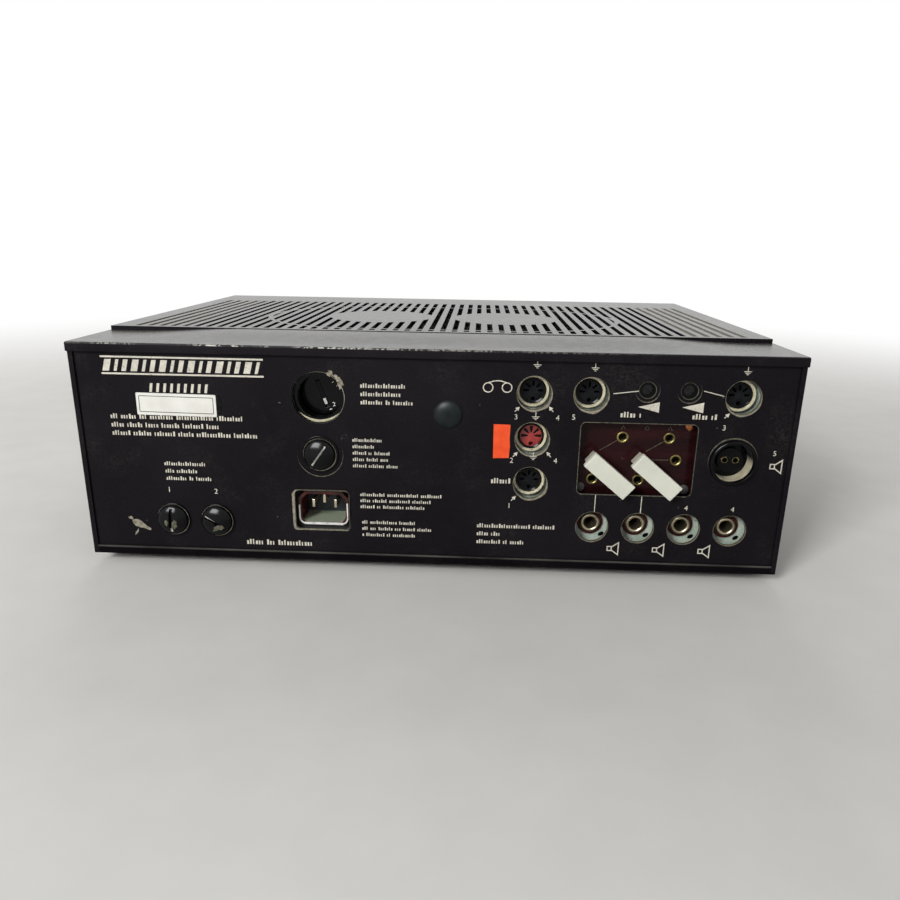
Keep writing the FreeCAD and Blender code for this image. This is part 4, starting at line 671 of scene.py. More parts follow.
def lathe(name, profile, centres, finish_name, face=REAR, stands_for=None, count=72):
    """A turned piece at each centre on a face: centre + r (cos a, sin a) at height h over the face.

    profile lists r and h in mm round the section, closed, and an end on the axis becomes a pole.
    """
    radius, height = np.array(profile, float).T[:, :, None]
    turn = np.arange(count) * 2 * np.pi / count
    points = []
    for u, v in centres:
        across, up = u + radius * np.cos(turn), v + radius * np.sin(turn)
        points.append(onto(face, across, up, np.broadcast_to(height, across.shape)))
    number = np.arange(len(centres) * across.size).reshape(len(centres), *across.shape)
    beside, after = np.roll(number, -1, 2), np.roll(number, -1, 1)
    faces = np.stack([number, beside, np.roll(beside, -1, 1), after], -1).reshape(-1, 4)
    made = show(name, closed_mesh(name, np.array(points), faces), finish_name, "root")
    if stands_for:
        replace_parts(made, stands_for)


def closed_mesh(name, points, faces):
    """A mesh whose doubled points are merged, stray faces dropped and faces turned outwards."""
    mesh = sheet_mesh(name, points, faces.tolist())
    shape = bmesh.new()
    shape.from_mesh(mesh)
    bmesh.ops.remove_doubles(shape, verts=shape.verts, dist=MERGE)
    bmesh.ops.dissolve_degenerate(shape, edges=shape.edges, dist=1e-7)
    loose = [edge for edge in shape.edges if not edge.link_faces]
    bmesh.ops.delete(shape, geom=loose, context="EDGES")
    bmesh.ops.recalc_face_normals(shape, faces=shape.faces)
    shape.to_mesh(mesh)
    shape.free()
    return mesh


def stamp(name, shapes, finish_name, face=REAR, lift=0.02, gauge=0.04, body="root"):
    """Plates of gauge mm cut to flat polygons and laid lift mm over a face.

    Their tops differ by a few thousandths of a millimetre, so that no two that cross share a plane.
    """
    least_area = 1e-4
    points, faces, start = [], [], 0
    for index, shape in enumerate(shapes):
        count = len(shape)
        u, v = shape.T
        area = (u * np.roll(v, -1) - np.roll(u, -1) * v).sum() / 2
        if abs(area) < least_area:
            continue
        shape = shape if area > 0 else shape[::-1]
        for height in (lift + gauge + index % 7 * 0.001, lift):
            points.append(onto(face, shape[:, 0], shape[:, 1], np.full(count, height)))
        ring = start + np.arange(count)
        after = np.roll(ring, -1)
        sides = np.stack([ring, count + ring, count + after, after], 1)
        faces += [ring.tolist(), (count + ring[::-1]).tolist(), *sides.tolist()]
        start += 2 * count
    show(name, sheet_mesh(name, np.vstack(points), faces), finish_name, body)


def spot(name, face=REAR):
    """Where a node, an opening or a mount lies on a face, in that face's millimetres."""
    if name in MOUNTS:
        at = MOUNTS[name]["pos_m"]
    else:
        at = np.mean(OPENINGS[name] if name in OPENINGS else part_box(name), axis=0)
    return np.array([face["sense"] * at[0], at[2] - face["base"]]) / MM


def spots(*names):
    """Where each of several nodes, openings or mounts lies on the rear panel."""
    return [spot(name) for name in names]


FUSES = ("mains_fuse", "outer_fuse", "inner_fuse")
SOCKETS = ("tape_socket", "record_socket", "output_socket", "input_one_socket", "input_two_socket")
JACKS = tuple(f"speaker_jack_{number}" for number in (1, 2, 3, 4))
TRIMMERS = ("input_one_trimmer", "input_two_trimmer")
KNOBS = tuple(f"{role}_knob" for role in ("volume_one", "volume_two", "volume_three", "volume_four"))
KNOBS += ("bass_knob", "treble_knob")
LEVERS = ("mains_switch_lever", "standby_switch_lever")
CHASSIS = face_of("chassis_rear_wall")


# ------------------------------------------------------------------------------- case


def crown(x, y, top):
    """The lid's swell over its rear margin, in mm.

    Across, it is full in the middle and fades out near the grille's corners.  From front to back it
    is 0 under the grille, full at the grille's rear edge and falls as a squared cosine to the rim.
    """
    ends_at, fade, rim = 170, 62, 2
    start, end = GRILLE[1, 1] / MM, LID[1, 1] / MM - rim
    back = (y - start) / (end - start)
    across = np.clip((ends_at - np.abs(x)) / fade, 0, 1)
    across = across * across * (3 - 2 * across)
    swell = np.cos(np.clip(back, 0, 1) * np.pi / 2) ** 2
    return top * across * np.where(back > 0, swell, 0)


def make_lid(look):
    """The folded lid: a sheet with a hole, its rim rounded over and turned down into a lip.

    The top is the grid z = lid top + crown(x, y) without the hole's cells.  Its outer loop goes on
    along a quarter circle, down the lip, under it and up inside it to the flat underside, and the
    hole's loop goes straight down.  Near a corner each point p from the corner's centre becomes
    p x max(|p|) / length of p, which turns squares round that centre into circles.
    """
    low, high = LID / MM
    radius, corner, gauge = look.lid_radius / MM, look.lid_corner / MM, 1.0
    hole = OPENINGS["lid_vent_opening"][:, :2] / MM + np.array([[-1, -1], [1, 1]])
    near, far = low[:2] + radius, high[:2] - radius
    fine = np.arange(0, 3, 0.4)
    back = GRILLE[1, 1] / MM
    xs = [near[0] + fine, np.linspace(*hole[:, 0], 61), np.arange(-180, 181, 4.0)]
    xs = np.unique(np.concatenate(xs))
    xs = np.unique(np.concatenate([xs, -xs]).round(3))
    ys = [near[1] + fine, far[1] - fine, np.linspace(*hole[:, 1], 12), [back + 0.02]]
    ys = np.unique(np.concatenate([*ys, np.linspace(back + 0.06, far[1] - 3, 16)]).round(3))
    x, y = np.meshgrid(xs, ys, indexing="ij")
    top = np.stack([x, y, high[2] + crown(x, y, look.crown / MM)], -1).reshape(-1, 3)
    under = np.stack([x, y, np.full_like(x, high[2] - gauge)], -1).reshape(-1, 3)
    count = x.size
    number = np.arange(count).reshape(x.shape)
    middle = (x[:-1, :-1] + x[1:, 1:]) / 2, (y[:-1, :-1] + y[1:, 1:]) / 2
    solid = ~np.all([(m > ends[0]) & (m < ends[1]) for m, ends in zip(middle, hole.T)], axis=0)
    sheet = cells(number)[solid]

    def loop(i, j, k, m):
        """The numbers of the grid's points round a box of rows i to k and columns j to m."""
        sides = [number[i:k, j], number[k, j:m], number[k:i:-1, m], number[i, m:j:-1]]
        return np.concatenate(sides)

    rim = loop(0, 0, x.shape[0] - 1, x.shape[1] - 1)
    rows, columns = np.searchsorted(xs, hole[:, 0] - 1e-6), np.searchsorted(ys, hole[:, 1] - 1e-6)
    gap = loop(rows[0], columns[0], rows[1], columns[1])
    plan = top[rim, :2]
    out = (np.abs(plan - far) < 1e-3) * 1.0 - (np.abs(plan - near) < 1e-3)
    turn = np.linspace(0, np.pi / 2, 7)[1:]
    profile = [(radius * math.sin(a), radius * (math.cos(a) - 1)) for a in turn]
    fall = low[2] - high[2]
    profile += [(radius, fall + 0.3), (radius - 0.3, fall), (radius - gauge + 0.2, fall)]
    profile += [(radius - gauge, fall + 0.2), (radius - gauge, -gauge)]
    level = np.full(len(rim), high[2])
    rings = [np.column_stack([plan + out * offset, level + drop]) for offset, drop in profile]
    points = np.vstack([top, under, *rings])
    pivot = np.array([low[:2] + corner, high[:2] - corner])
    away = np.where(points[:, :2] < pivot[0], points[:, :2] - pivot[0], 0)
    away = away + np.where(points[:, :2] > pivot[1], points[:, :2] - pivot[1], 0)
    both = np.all(np.abs(away) > 0, axis=1)
    length = np.linalg.norm(away[both], axis=1, keepdims=True)
    points[both, :2] += away[both] * (np.abs(away[both]).max(1, keepdims=True) / length - 1)
    lip = [2 * count + len(rim) * k + np.arange(len(rim)) for k in range(len(profile))]
    bore = np.stack([gap, np.roll(gap, -1), np.roll(gap, -1) + count, gap + count], 1)
    faces = np.vstack([sheet, sheet[:, ::-1] + count, *strips([rim, *lip, rim + count]), bore])
    mesh = sheet_mesh("lid_sheet", points * MM, faces.tolist())
    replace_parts(show("lid_sheet", mesh, "lid_enamel", "root"), "lid")


def make_case(look):
    """The enamelled sheets, most with their edges broken, the rubber feet and the plated screws."""
    edge = look.edge / MM
    softened("tray_enamel", edge, "bottom_tray")
    softened("grille_enamel", edge / 2, "vent_grille")
    softened("stove_enamel", edge / 2, "rear_panel")
    dress("stove_enamel", "left_side_wall", "right_side_wall")
    softened("moulded_rubber", 0.6, "rubber_feet")
    softened("zinc_plate", 0.2, "fasteners")


# ------------------------------------------------------------------------------- rear panel


# Widths in mm of the printed lines: an earth sign's, a leading line's and a larger sign's outline.
EARTH_LINE, LEAD, OUTLINE = 0.35, 0.4, 0.55


def earth(centre):
    """A sign for earth: an upright over three level lines, each shorter than the last."""
    u, v = centre
    shapes = stroke([(u, v + 2.4), (u, v)], EARTH_LINE)
    for index, half in enumerate((1.9, 1.2, 0.5)):
        level = v - index * 0.75
        shapes += stroke([(u - half, level), (u + half, level)], EARTH_LINE)
    return shapes


def arrow(centre, turn):
    """A short solid arrow that points up before it is turned."""
    head = [np.array([[-1.1, -0.2], [1.1, -0.2], [0, 1.9]])]
    return placed(head + stroke([(0, -1.7), (0, 0)], 0.45), turn, centre)


def loudspeaker(u, v):
    """A sign for a loudspeaker: a small square with a flaring cone on its right, in outline."""
    wide, tall = 5.8, 7.0
    left, waist, right = u - wide / 2, u - wide / 8, u + wide / 2
    box = [(left, v - tall / 6), (waist, v - tall / 6), (waist, v + tall / 6), (left, v + tall / 6)]
    cone = [(waist, v - tall / 8), (right, v - tall / 2), (right, v + tall / 2), (waist, v + tall / 8)]
    return stroke(box, OUTLINE, True) + stroke(cone, OUTLINE)


def reels(left, right, radius):
    """A sign for tape: two rings joined over the top by a shallow arc."""
    shapes = []
    for centre in (left, right):
        shapes += stroke(circle(centre, radius, 28), OUTLINE, True)
    share = np.linspace(0, 1, 13)[:, None]
    path = left * (1 - share) + right * share + [0, radius]
    path[:, 1:] += 1.1 * np.sin(share * np.pi)
    return shapes + stroke(path, 0.5)


def ornament(u, v, wide, tall):
    """A plain ornamental band: slanted bars of three widths between two level lines."""
    low, line = v - tall / 2, 0.9
    shapes = [bar(u - wide / 2, low, wide, line), bar(u - wide / 2, v + tall / 2 - line, wide, line)]
    at = u - wide / 2 + 0.6
    for index in range(17):
        width = (3.4, 1.6, 2.4)[index % 3]
        shapes.append(bar(at, low + 1.8, width, tall - 3.6, 1.6))
        at += width + 2.4
    return shapes


def make_print():
    """The panel's screen print: signs, lines, plain numbers and rows of ticks, set by its fittings."""
    tape, record, output, one, two = spots(*SOCKETS)
    selector, fuse, outer, inner = spots("voltage_selector", *(name + "_cap" for name in FUSES))
    inlet, line, board = spots("inlet_housing", "line_socket", "terminal_board")
    trims, jacks = spots(*TRIMMERS), spots(*JACKS)
    shapes = ornament(outer[0] + 12, -11.8, 84, 9.6)
    shapes += [bar(-145 + index * 3.6, -25.4, 1.4, 4.6, 0.8) for index in range(9)]
    # Rows of ticks: where the first row starts and how far on the next one does, the height and the
    # pitch of the ticks, and then for each row the numbers of ticks in its groups.
    for start, step, height, pitch, *rows in (
        ((-167, -39.9), (0, -4.5), 1.8, 1.42, (3, 6, 3, 9, 14, 10), (5, 6, 5, 7, 8, 5), (7, 7, 8, 6, 13, 9)),
        (selector + [22, 5.9], (0, -4.3), 1.6, 1.3, (18,), (16,), (9, 2, 8)),
        (fuse + [17.3, 7.3], (0, -3.5), 1.3, 1.05, (15,), (11,), (7, 2, 8), (6, 6, 4), (7, 8, 6)),
        (inlet + [20.8, 8.9], (0, -3.4), 1.3, 1.12, (12, 15, 10), (5, 7, 10, 9), (7, 2, 10, 9)),
        (inlet + [21.5, -6.8], (0, -3.6), 1.3, 1.12, (3, 13, 8), (3, 3, 7, 3, 6, 7), (1, 9, 2, 11)),
        ((-141, -65), (0.2, -4.1), 1.5, 1.25, (18,), (4, 9), (9, 2, 7)),
        ((output[0] - 26.9, -95), (0, -4.6), 1.6, 1.3, (22, 9), (5, 4), (10, 2, 6)),
        ((-99.5, -109), (0, 0), 2.1, 1.6, (6, 3, 12)),
    ):
        for row, words in enumerate(rows):
            shapes += caption(*(np.array(start) + row * np.array(step)), words, height, pitch)
    shapes += numeral("1", outer + [-1, 16.6], 2.8) + numeral("2", inner + [0.4, 16.4], 2.8)
    shapes += reels(tape + [-23.2, 2.3], tape + [-13.7, 2.4], 2.4)
    for at in (tape + [1, 14.3], one + [1.2, 13.4], two + [0.4, 13.2], record + [1.4, 11.7]):
        shapes += earth(at)
    shapes += earth(output + [1.1, 14.4])
    for socket in (tape, record):
        shapes += arrow(socket + [-8.2, -8.6], -42) + arrow(socket + [9, -8.2], 40)
    shapes += arrow(output + [-8.2, -8.8], -42) + arrow(two + [-7, -9.4], -42)
    labels = (tape + [-8.6, -12.6], tape + [12.5, -12.6], record + [-10, -11.8], record + [12.6, -11.4])
    labels += (output + [-10.3, -12.9], one + [-8, -12], two + [-7.6, -15.6])
    for text, at in zip("3424153", labels):
        shapes += numeral(text, at, 2.7)
    shapes += caption(*(output + [-20.2, -0.6]), (7,), 2.0, 1.5)
    shapes += caption(*(trims[0] + [-12.4, -14.2]), (5, 1), 2.0, 1.6)
    shapes += caption(*(trims[1] + [2.8, -14.4]), (5, 2), 2.0, 1.6)
    for at in (trims[0] + [1.2, -8.7], trims[1] + [2.5, -8.4]):
        shapes.append(at + np.array([[-5.3, 0], [5.3, -2.7], [5.3, 2.7]]))
    shapes += stroke([one + [11, 0.6], trims[0] + [-4.4, -0.6]], LEAD)
    shapes += stroke([trims[1] + [7, 0.2], two + [-9.6, 0.6]], LEAD)
    for jack in jacks[:2]:
        shapes += stroke([(jack[0] + 0.8, board[1] - 19.6), jack + [0.8, 8.4]], LEAD)
    for jack in jacks[2:]:
        shapes += numeral("4", jack + [0.2, 12.1], 2.6)
    for at in (*(jack + [12.0, -12.2] for jack in jacks[:3]), line + [21.8, -1.4]):
        shapes += loudspeaker(*at)
    shapes += numeral("5", line + [20.3, 5.6], 2.6)
    stamp("panel_print", shapes, "screen_ink")


def make_labels():
    """What was stuck on the panel: the bordered blank label, its dark glue, and the orange sticker."""
    at, lean = np.array([-131.5, -31.9]), -0.6
    body = placed([rounded((0, 0), 41.8, 11.7, 0.6)], lean, at)
    stamp("blank_label", body, "label_paper", lift=0.03, gauge=0.12)
    border = placed(stroke(rounded((0, 0), 38.8, 8.4, 0.5), 0.35, True), lean, at)
    stamp("label_border", border, "label_ink", lift=0.15, gauge=0.02)
    spread = np.array([1.7, 4.6]) * (1 + ragged(40, 0, 0.3, 5))[:, None]
    glue = at + [22.6, 0.2] + circle((0, 0), 1, 40) * spread
    stamp("label_glue", [glue], "old_glue", lift=0.015, gauge=0.01)
    tag = np.array([[-4.1, -9.1], [4.0, -8.8], [4.4, -2.4], [4.1, 1.8], [4.3, 9], [-4.3, 9.1]])
    tag += spot("record_socket") + [-15.5, -1.8]
    stamp("orange_sticker", [tag], "orange_paper", lift=0.03, gauge=0.14)


def blot(centre, size, seed, turn=0.0):
    """An irregular patch: an ellipse whose radius is uneven all the way round."""
    edge = circle((0, 0), 1, 60) * (0.45 + ragged(60, 0, 0.55, seed))[:, None]
    return placed([edge * np.array(size)], turn, centre)


def lopsided(count, least, most, towards, seed):
    """Widths for a closed contour of count points: least all round, up to most towards an angle."""
    away = np.arange(count) * 2 * np.pi / count - math.radians(towards)
    lean = np.clip(np.cos(away) * 0.75 + 0.25, 0, 1) ** 1.5
    return least + (most - least) * lean * (0.55 + ragged(count, 0, 0.45, seed))


def worn(name, radius, least, most, towards, seed, count=96):
    """A worn band round a fitting, outside a radius in mm and widest towards an angle."""
    return margin(circle(spot(name), radius, count), lopsided(count, least, most, towards, seed))


def make_wear():
    """Bare metal: worn rims and linings of the panel's holes, flaked patches and small chips."""
    rims, dim, lining = [], [], []
    # Round holes: the fittings, the radii in mm of the hole's edge and of the lining inside it, the
    # worn band's greatest width and the angle where it is widest, and the first seed.
    for names, edge, wall, most, towards, seed in (
        (SOCKETS, 8.76, 8.62, 1.6, -68, 30),
        (JACKS, 8.45, 8.3, 0.5, -60, 40),
    ):
        for index, name in enumerate(names):
            rims += worn(name, edge, 0.06, most, towards, seed + index)
            lining += margin(circle(spot(name), wall, 72), 0.1)
    for index, name in enumerate(TRIMMERS):
        dim += worn(name, 4.15, 0.12, 0.6, -30, 50 + index, 60)
        dim += worn(name, 6.0, 0.0, 0.7, -70, 52 + index, 72)
    rims += worn("voltage_selector", 13.52, 0.0, 0.4, 20, 60, 120)
    draw = np.random.default_rng(61)
    for seed in range(300, 316):
        bearing, reach, size = draw.uniform(26, 64), draw.uniform(12.9, 15.2), draw.uniform(0.5, 1.3)
        away = math.radians(bearing)
        place = spot("voltage_selector") + reach * np.array([math.cos(away), math.sin(away)])
        rims += blot(place, (size * draw.uniform(1, 2), size), seed, bearing - 90)
    dim += worn("mains_fuse_cap", 12.1, 0.0, 0.8, -80, 65)
    dim += worn("line_socket", 12.5, 0.0, 0.9, 100, 66)
    field = (spot("terminal_field")[0], spot("terminal_board")[1] + 0.1)
    dim += margin(rounded(field, 58.9, 38.4, 2.5, 20), ragged(80, 0.15, 0.55, 67))
    outer = spot("outer_fuse_cap")
    turn = np.linspace(0, 2 * np.pi, 64, endpoint=False)
    flake = np.stack([np.cos(turn) * 5.1, np.sin(turn) * (1.6 - 0.75 * np.cos(turn))], 1)
    flake[:, 1] += 0.25 * np.sin(turn * 4)
    rims += placed([flake * 1.08], -28, outer + [-18.4, -4.4])
    rims += blot(outer + [-24.2, -0.4], (2.0, 1.4), 71, 10)
    rims += blot(outer + [-21.4, -8.8], (0.8, 2.8), 72, -30)
    draw = np.random.default_rng(9)
    for seed in range(80, 96):
        at, size = (draw.uniform(-176, 176), draw.uniform(-110, -7)), draw.uniform(0.15, 0.4)
        dim += blot(at, (size * draw.uniform(1, 2.4), size), seed, draw.uniform(0, 180))
    stamp("bared_patches", rims, "bared_steel", lift=0.005, gauge=0.02)
    stamp("scuffed_patches", dim, "scuffed_primer", lift=0.005, gauge=0.02)
    stamp("hole_walls", lining, "scuffed_primer", lift=-1.5, gauge=1.5)


# ------------------------------------------------------------------------------- fittings


# A fuse cap in mm: its radius, the height of its rim and its dome's rise over that, the width of its
# slot and the height of the slot's floor over the panel.
CAP_RADIUS, CAP_RIM, CAP_RISE, CAP_SLOT, CAP_FLOOR = 8.4, 1.35, 4.0, 1.7, 3.6
# The angle in degrees at which each cap's slot lies.
CAP_TURNS = {"mains_fuse_cap": 55, "outer_fuse_cap": 88, "inner_fuse_cap": 150}


def dome(radius):
    """Height in mm of a fuse cap's head over the panel: rim + rise sqrt(1 - (r / R)^2)."""
    return CAP_RIM + CAP_RISE * np.sqrt(np.clip(1 - (radius / CAP_RADIUS) ** 2, 0, 1))


def on_cap(name, piece, points, faces, finish_name, smooth, angle=0.0):
    """A piece that rides on a fuse cap, from points in mm about the cap's middle, turned in place."""
    u, v = placed([points[:, :2]], angle, spot(name))[0].T
    mesh = closed_mesh(name + piece, onto(REAR, u, v, points[:, 2]), faces)
    body = frame["nodes"][name]["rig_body"]
    return show(name + piece, mesh, finish_name, body, smooth)


def make_cap(name):
    """A fuse cap: a dome with a screwdriver slot, its skirt and the bore for the cartridge.

    The grid is x = a, y = t sqrt(R^2 - a^2), with a across the slot and t from -1 to 1.  It stands at
    the dome's height, cut down to the slot's floor within half the slot's width of the middle.  Its
    rim goes on down the side, under the head, down the skirt and up inside the bore to an end.
    """
    half = CAP_SLOT / 2
    side = half + (CAP_RADIUS - half) * np.sin(np.linspace(0, np.pi / 2, 16))
    across = np.concatenate([-side[::-1], [-half, half], side])
    inside = np.abs(np.arange(len(across)) - (len(across) - 1) / 2) < 1
    along = np.sin(np.linspace(-np.pi / 2, np.pi / 2, 33))
    a, t = np.meshgrid(across, along, indexing="ij")
    b = t * np.sqrt(np.clip(CAP_RADIUS**2 - a**2, 0, None))
    height = dome(np.hypot(a, b))
    height[inside] = np.minimum(height[inside], CAP_FLOOR)
    number = np.arange(a.size).reshape(a.shape)
    rim = np.concatenate([number[:, -1], number[::-1, 0]])
    points = [np.stack([a, b, height], -1).reshape(-1, 3)]
    rows = [rim]
    skirt = ((8.4, 1.3), (6.7, 1.3), (6.7, -12.0), (2.9, -12.0), (2.9, -7.0), (0.0, -7.0))
    for index, (radius, drop) in enumerate(skirt):
        ring = points[0][rim, :2] * radius / CAP_RADIUS
        points.append(np.column_stack([ring, np.full(len(rim), drop)]))
        rows.append(a.size + index * len(rim) + np.arange(len(rim)))
    faces = np.vstack([cells(number).reshape(-1, 4), *strips(rows)])
    angle = CAP_TURNS[name] - 90
    made = on_cap(name, "_dome", np.vstack(points), faces, "worn_phenolic", 40, angle)
    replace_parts(made, name)


def make_chips(name, shapes):
    """Chips on a fuse cap's dome: each outline drawn in three times towards its middle and lifted."""
    points, faces, start = [], [], 0
    for shape in shapes:
        middle = shape.mean(0)
        sheet = np.stack([middle + (shape - middle) * share for share in (1, 0.66, 0.33, 0.0)])
        level = dome(np.linalg.norm(sheet, axis=2))
        both = [np.dstack([sheet, level + 0.05])[::-1], np.dstack([sheet, level - 0.05])]
        rows = np.vstack(both).reshape(-1, 3)
        number = start + np.arange(len(rows)).reshape(8, -1)
        after = np.roll(number, -1, 1)
        faces.append(np.stack([number[:-1], after[:-1], after[1:], number[1:]], -1).reshape(-1, 4))
        points.append(rows)
        start += len(rows)
    on_cap(name, "_chips", np.vstack(points), np.vstack(faces), "scuffed_primer", 35)


def make_fuses():
    """The three fuse holders: slotted domes with worn slots and chips, and thin bright rims."""
    softened("black_phenolic", 0.3, "fuse_holders")
    rims = []
    for index, name in enumerate(FUSES):
        make_cap(name + "_cap")
        dress("cartridge_glass", name + "_cartridge")
        rims += worn(name + "_cap", 8.5, 0.1, 0.55, -50, 90 + index)
    stamp("holder_rims", rims, "bared_steel", lift=1.02, gauge=0.02)
    # Where each slot is rubbed bright: its cap, then start, length and width in mm.
    for name, start, length, width in (
        ("mains_fuse_cap", -6.4, 12.8, 0.9),
        ("inner_fuse_cap", 0.5, 5.9, 0.55),
        ("outer_fuse_cap", -6.2, 1.9, 1.5),
    ):
        line = placed([bar(start, -width / 2, length, width)], CAP_TURNS[name], spot(name))
        stamp(name + "_slot", line, "worn_slot", lift=CAP_FLOOR + 0.02, gauge=0.03, body=name)
    grey = blot((-2.3, -0.4), (1.9, 2.4), 95, 10) + blot((2.2, -1.6), (2.0, 3.4), 96, -8)
    make_chips("outer_fuse_cap", grey)
    make_chips("inner_fuse_cap", blot((2.4, -2.6), (4.6, 2.6), 97, 18))


def make_selector():
    """The voltage selector: its dark cup, a crescent of painted light at the bottom, and the rotor's marks
    with painted shade and highlight.
    """
    at = spot("voltage_selector")
    section = [(11.2, -3), (13.35, -3), (13.35, -9.2), (15.5, -9.2), (15.5, -10.7), (12.5, -10.7)]
    section += [(12.5, -16), (4.0, -16), (4.0, -13.2), (11.2, -13.2)]
    lathe("selector_cup", section, [at], "black_phenolic", stands_for="selector_base")
    softened("black_phenolic", 0.3, "voltage_selector")
    # Painted light: the cup's rim laid cream only in its lower arc, where light falls.
    turn = np.radians(np.linspace(-142, -38, 40))
    thick = 1.25 * np.sin(np.linspace(0, np.pi, 40)) ** 0.7 + 0.02
    edge = np.stack([np.cos(turn), np.sin(turn)], 1)
    lune = np.vstack([edge * 13.3, (edge * (13.3 - thick)[:, None])[::-1]])
    stamp("selector_crescent", [at + lune], "rim_enamel", lift=-2.9, gauge=0.4)
    marks = placed(numeral("1", (0, 0), 2.2), -48, at + [6.2, 6.6])
    marks += placed(numeral("2", (0, 0), 2.2), 10, at + [6.0, -5.6])
    marks += blot(at + [8.2, 4.4], (1.0, 0.6), 98, 30) + blot(at + [4.2, -8.2], (1.3, 0.5), 99, 20)
    # Painted shade widening the dark of the rotor's slot, and a painted highlight at its lower end.
    groove = placed([bar(-2.6, -0.85, 9.6, 1.7)], 110, at)
    shine = placed([bar(-5.9, -0.75, 3.2, 1.5)], 110, at)
    for piece, shapes, finish_name, lift, gauge in (
        ("selector_marks", marks, "label_paper", 0.01, 0.03),
        ("selector_groove", groove, "old_glue", 0.002, 0.003),
        ("selector_slot", shine, "worn_slot", 0.005, 0.02),
    ):
        stamp(piece, shapes, finish_name, face_of("voltage_selector"), lift, gauge, "voltage_selector")


def make_inlet():
    """The mains inlet: its moulding, blades, gasket, the band of painted highlight and the panel's bare
    edge.
    """
    at = spot("inlet_housing")
    softened("inlet_phenolic", 0.5, "inlet_housing")
    softened("nickel_plate", 0.3, "inlet_blades")
    gasket = margin(rounded(at, 27.4, 19.2, 3.4, 12), 4.5)
    stamp("inlet_gasket", gasket, "moulded_rubber", CHASSIS, 0.01, 0.8)
    edge = margin(rounded(at, 29.2, 22.4, 2.6, 20), lopsided(80, 0.1, 1.7, -80, 68))
    stamp("inlet_edge", edge, "bared_steel", lift=-1.5, gauge=1.5)
    # A painted highlight: the metal band round the opening's lower part, laid nearly white.
    under = rounded(at, 26.0, 18.0, 3.4, 12)
    path = np.vstack([at + [-13.0, 1.5], under[-12:], under[:12], at + [13.0, 3.0]])
    bright = stroke(path, 0.7) + [bar(*(at + [-10.4, -9.5]), 20.8, 1.3)]
    stamp("inlet_band", bright, "bright_tin", face_of("inlet_housing"), 0.0, 0.35)


def make_round_sockets():
    """The five round sockets: a pale rim behind each hole, a dark collar, the moulded insert, and painted
    shade in the red one's slots.
    """
    places = [spot(name) + [-0.2, 0] for name in SOCKETS]
    rim = [(6.9, 2.0), (7.0, 2.5), (7.3, 2.8), (8.1, 2.9), (8.4, 2.6), (8.4, 0), (7.6, 0)]
    rim += [(7.6, -12), (6.65, -12), (6.65, -1.2), (6.9, -1.2)]
    lathe("socket_rims", rim, places, "rim_enamel", CHASSIS, stands_for="socket_shells")
    collar = [(5.7, 1.7), (6.6, 2.1), (6.85, 1.9), (6.85, -1.1), (5.7, -1.1)]
    lathe("socket_collars", collar, places, "black_phenolic", CHASSIS)
    softened("socket_phenolic", 0.15, "socket_inserts")
    softened("red_urea", 0.15, "record_socket_insert")
    # Painted shade: black bars over the red insert's contact slots.
    slot = np.array([[1.7, -0.35], [5.2, -0.85], [5.3, 0.85], [1.7, 0.35]])
    slots = [shape for step in range(5) for shape in placed([slot], 45 * step, spot("record_socket"))]
    stamp("record_socket_slots", slots, "old_glue", face_of("record_socket_insert"), 0.005, 0.02)


def make_jacks():
    """The jacks: a polished bush with a funnel mouth on a red fibre washer, and a rivet hole each as painted
    shade.
    """
    places = spots(*JACKS)
    turn = np.radians(np.linspace(190, -10, 13))
    rounding = np.stack([4.25 + 1.05 * np.cos(turn), 1.6 + 1.15 * np.sin(turn)], 1).tolist()
    section = [(3.2, -7.2), *rounding, (5.35, 0.85), (4.7, 0.85), (4.7, -7.2)]
    lathe("jack_mouths", section, places, "polished_nickel", CHASSIS, stands_for="jack_bushes")
    ring = [(4.75, 0.02), (6.75, 0.02), (6.8, 0.1), (6.8, 0.75), (6.7, 0.84), (4.75, 0.84)]
    lathe("jack_washers", ring, places, "vulcan_fibre", CHASSIS)
    dress("brown_phenolic", "jack_bodies")
    flush = [circle(at + [5.5, -5.5], 1.15, 24) for at in places]
    stamp("flush_rivets", flush, "passivated_sheet", CHASSIS, 0.005, 0.01)
    # Painted shade: each rivet hole is a dark oval laid on the chassis.
    oval = circle((0, 0), 1, 24) * np.array([1.7, 1.1])
    holes = [placed([oval], 32, at + [6.6, -7.2])[0] for at in places]
    stamp("rivet_holes", holes, "old_glue", CHASSIS, 0.02, 0.02)


def make_line_socket():
    """The large line socket: glossy ring, cream wall inside it with painted shade over its upper half, and a
    dark contact block.
    """
    at = spot("line_socket")
    softened("black_phenolic", 0.5, "line_socket")
    softened("black_phenolic", 0.2, "line_socket_insert")
    wall = [(10.15, -0.6), (10.15, -8.2), (9.9, -8.2), (9.9, -0.6)]
    lathe("line_wall", wall, [at], "socket_wall")
    marks = []
    for index, side in enumerate((-2.75, 2.75)):
        marks += margin(circle(at + [side, 0], 1.35, 32), ragged(32, 0.15, 0.8, 110 + index))
    stamp("line_contacts", marks, "rolled_brass", lift=-4.58, gauge=0.03)


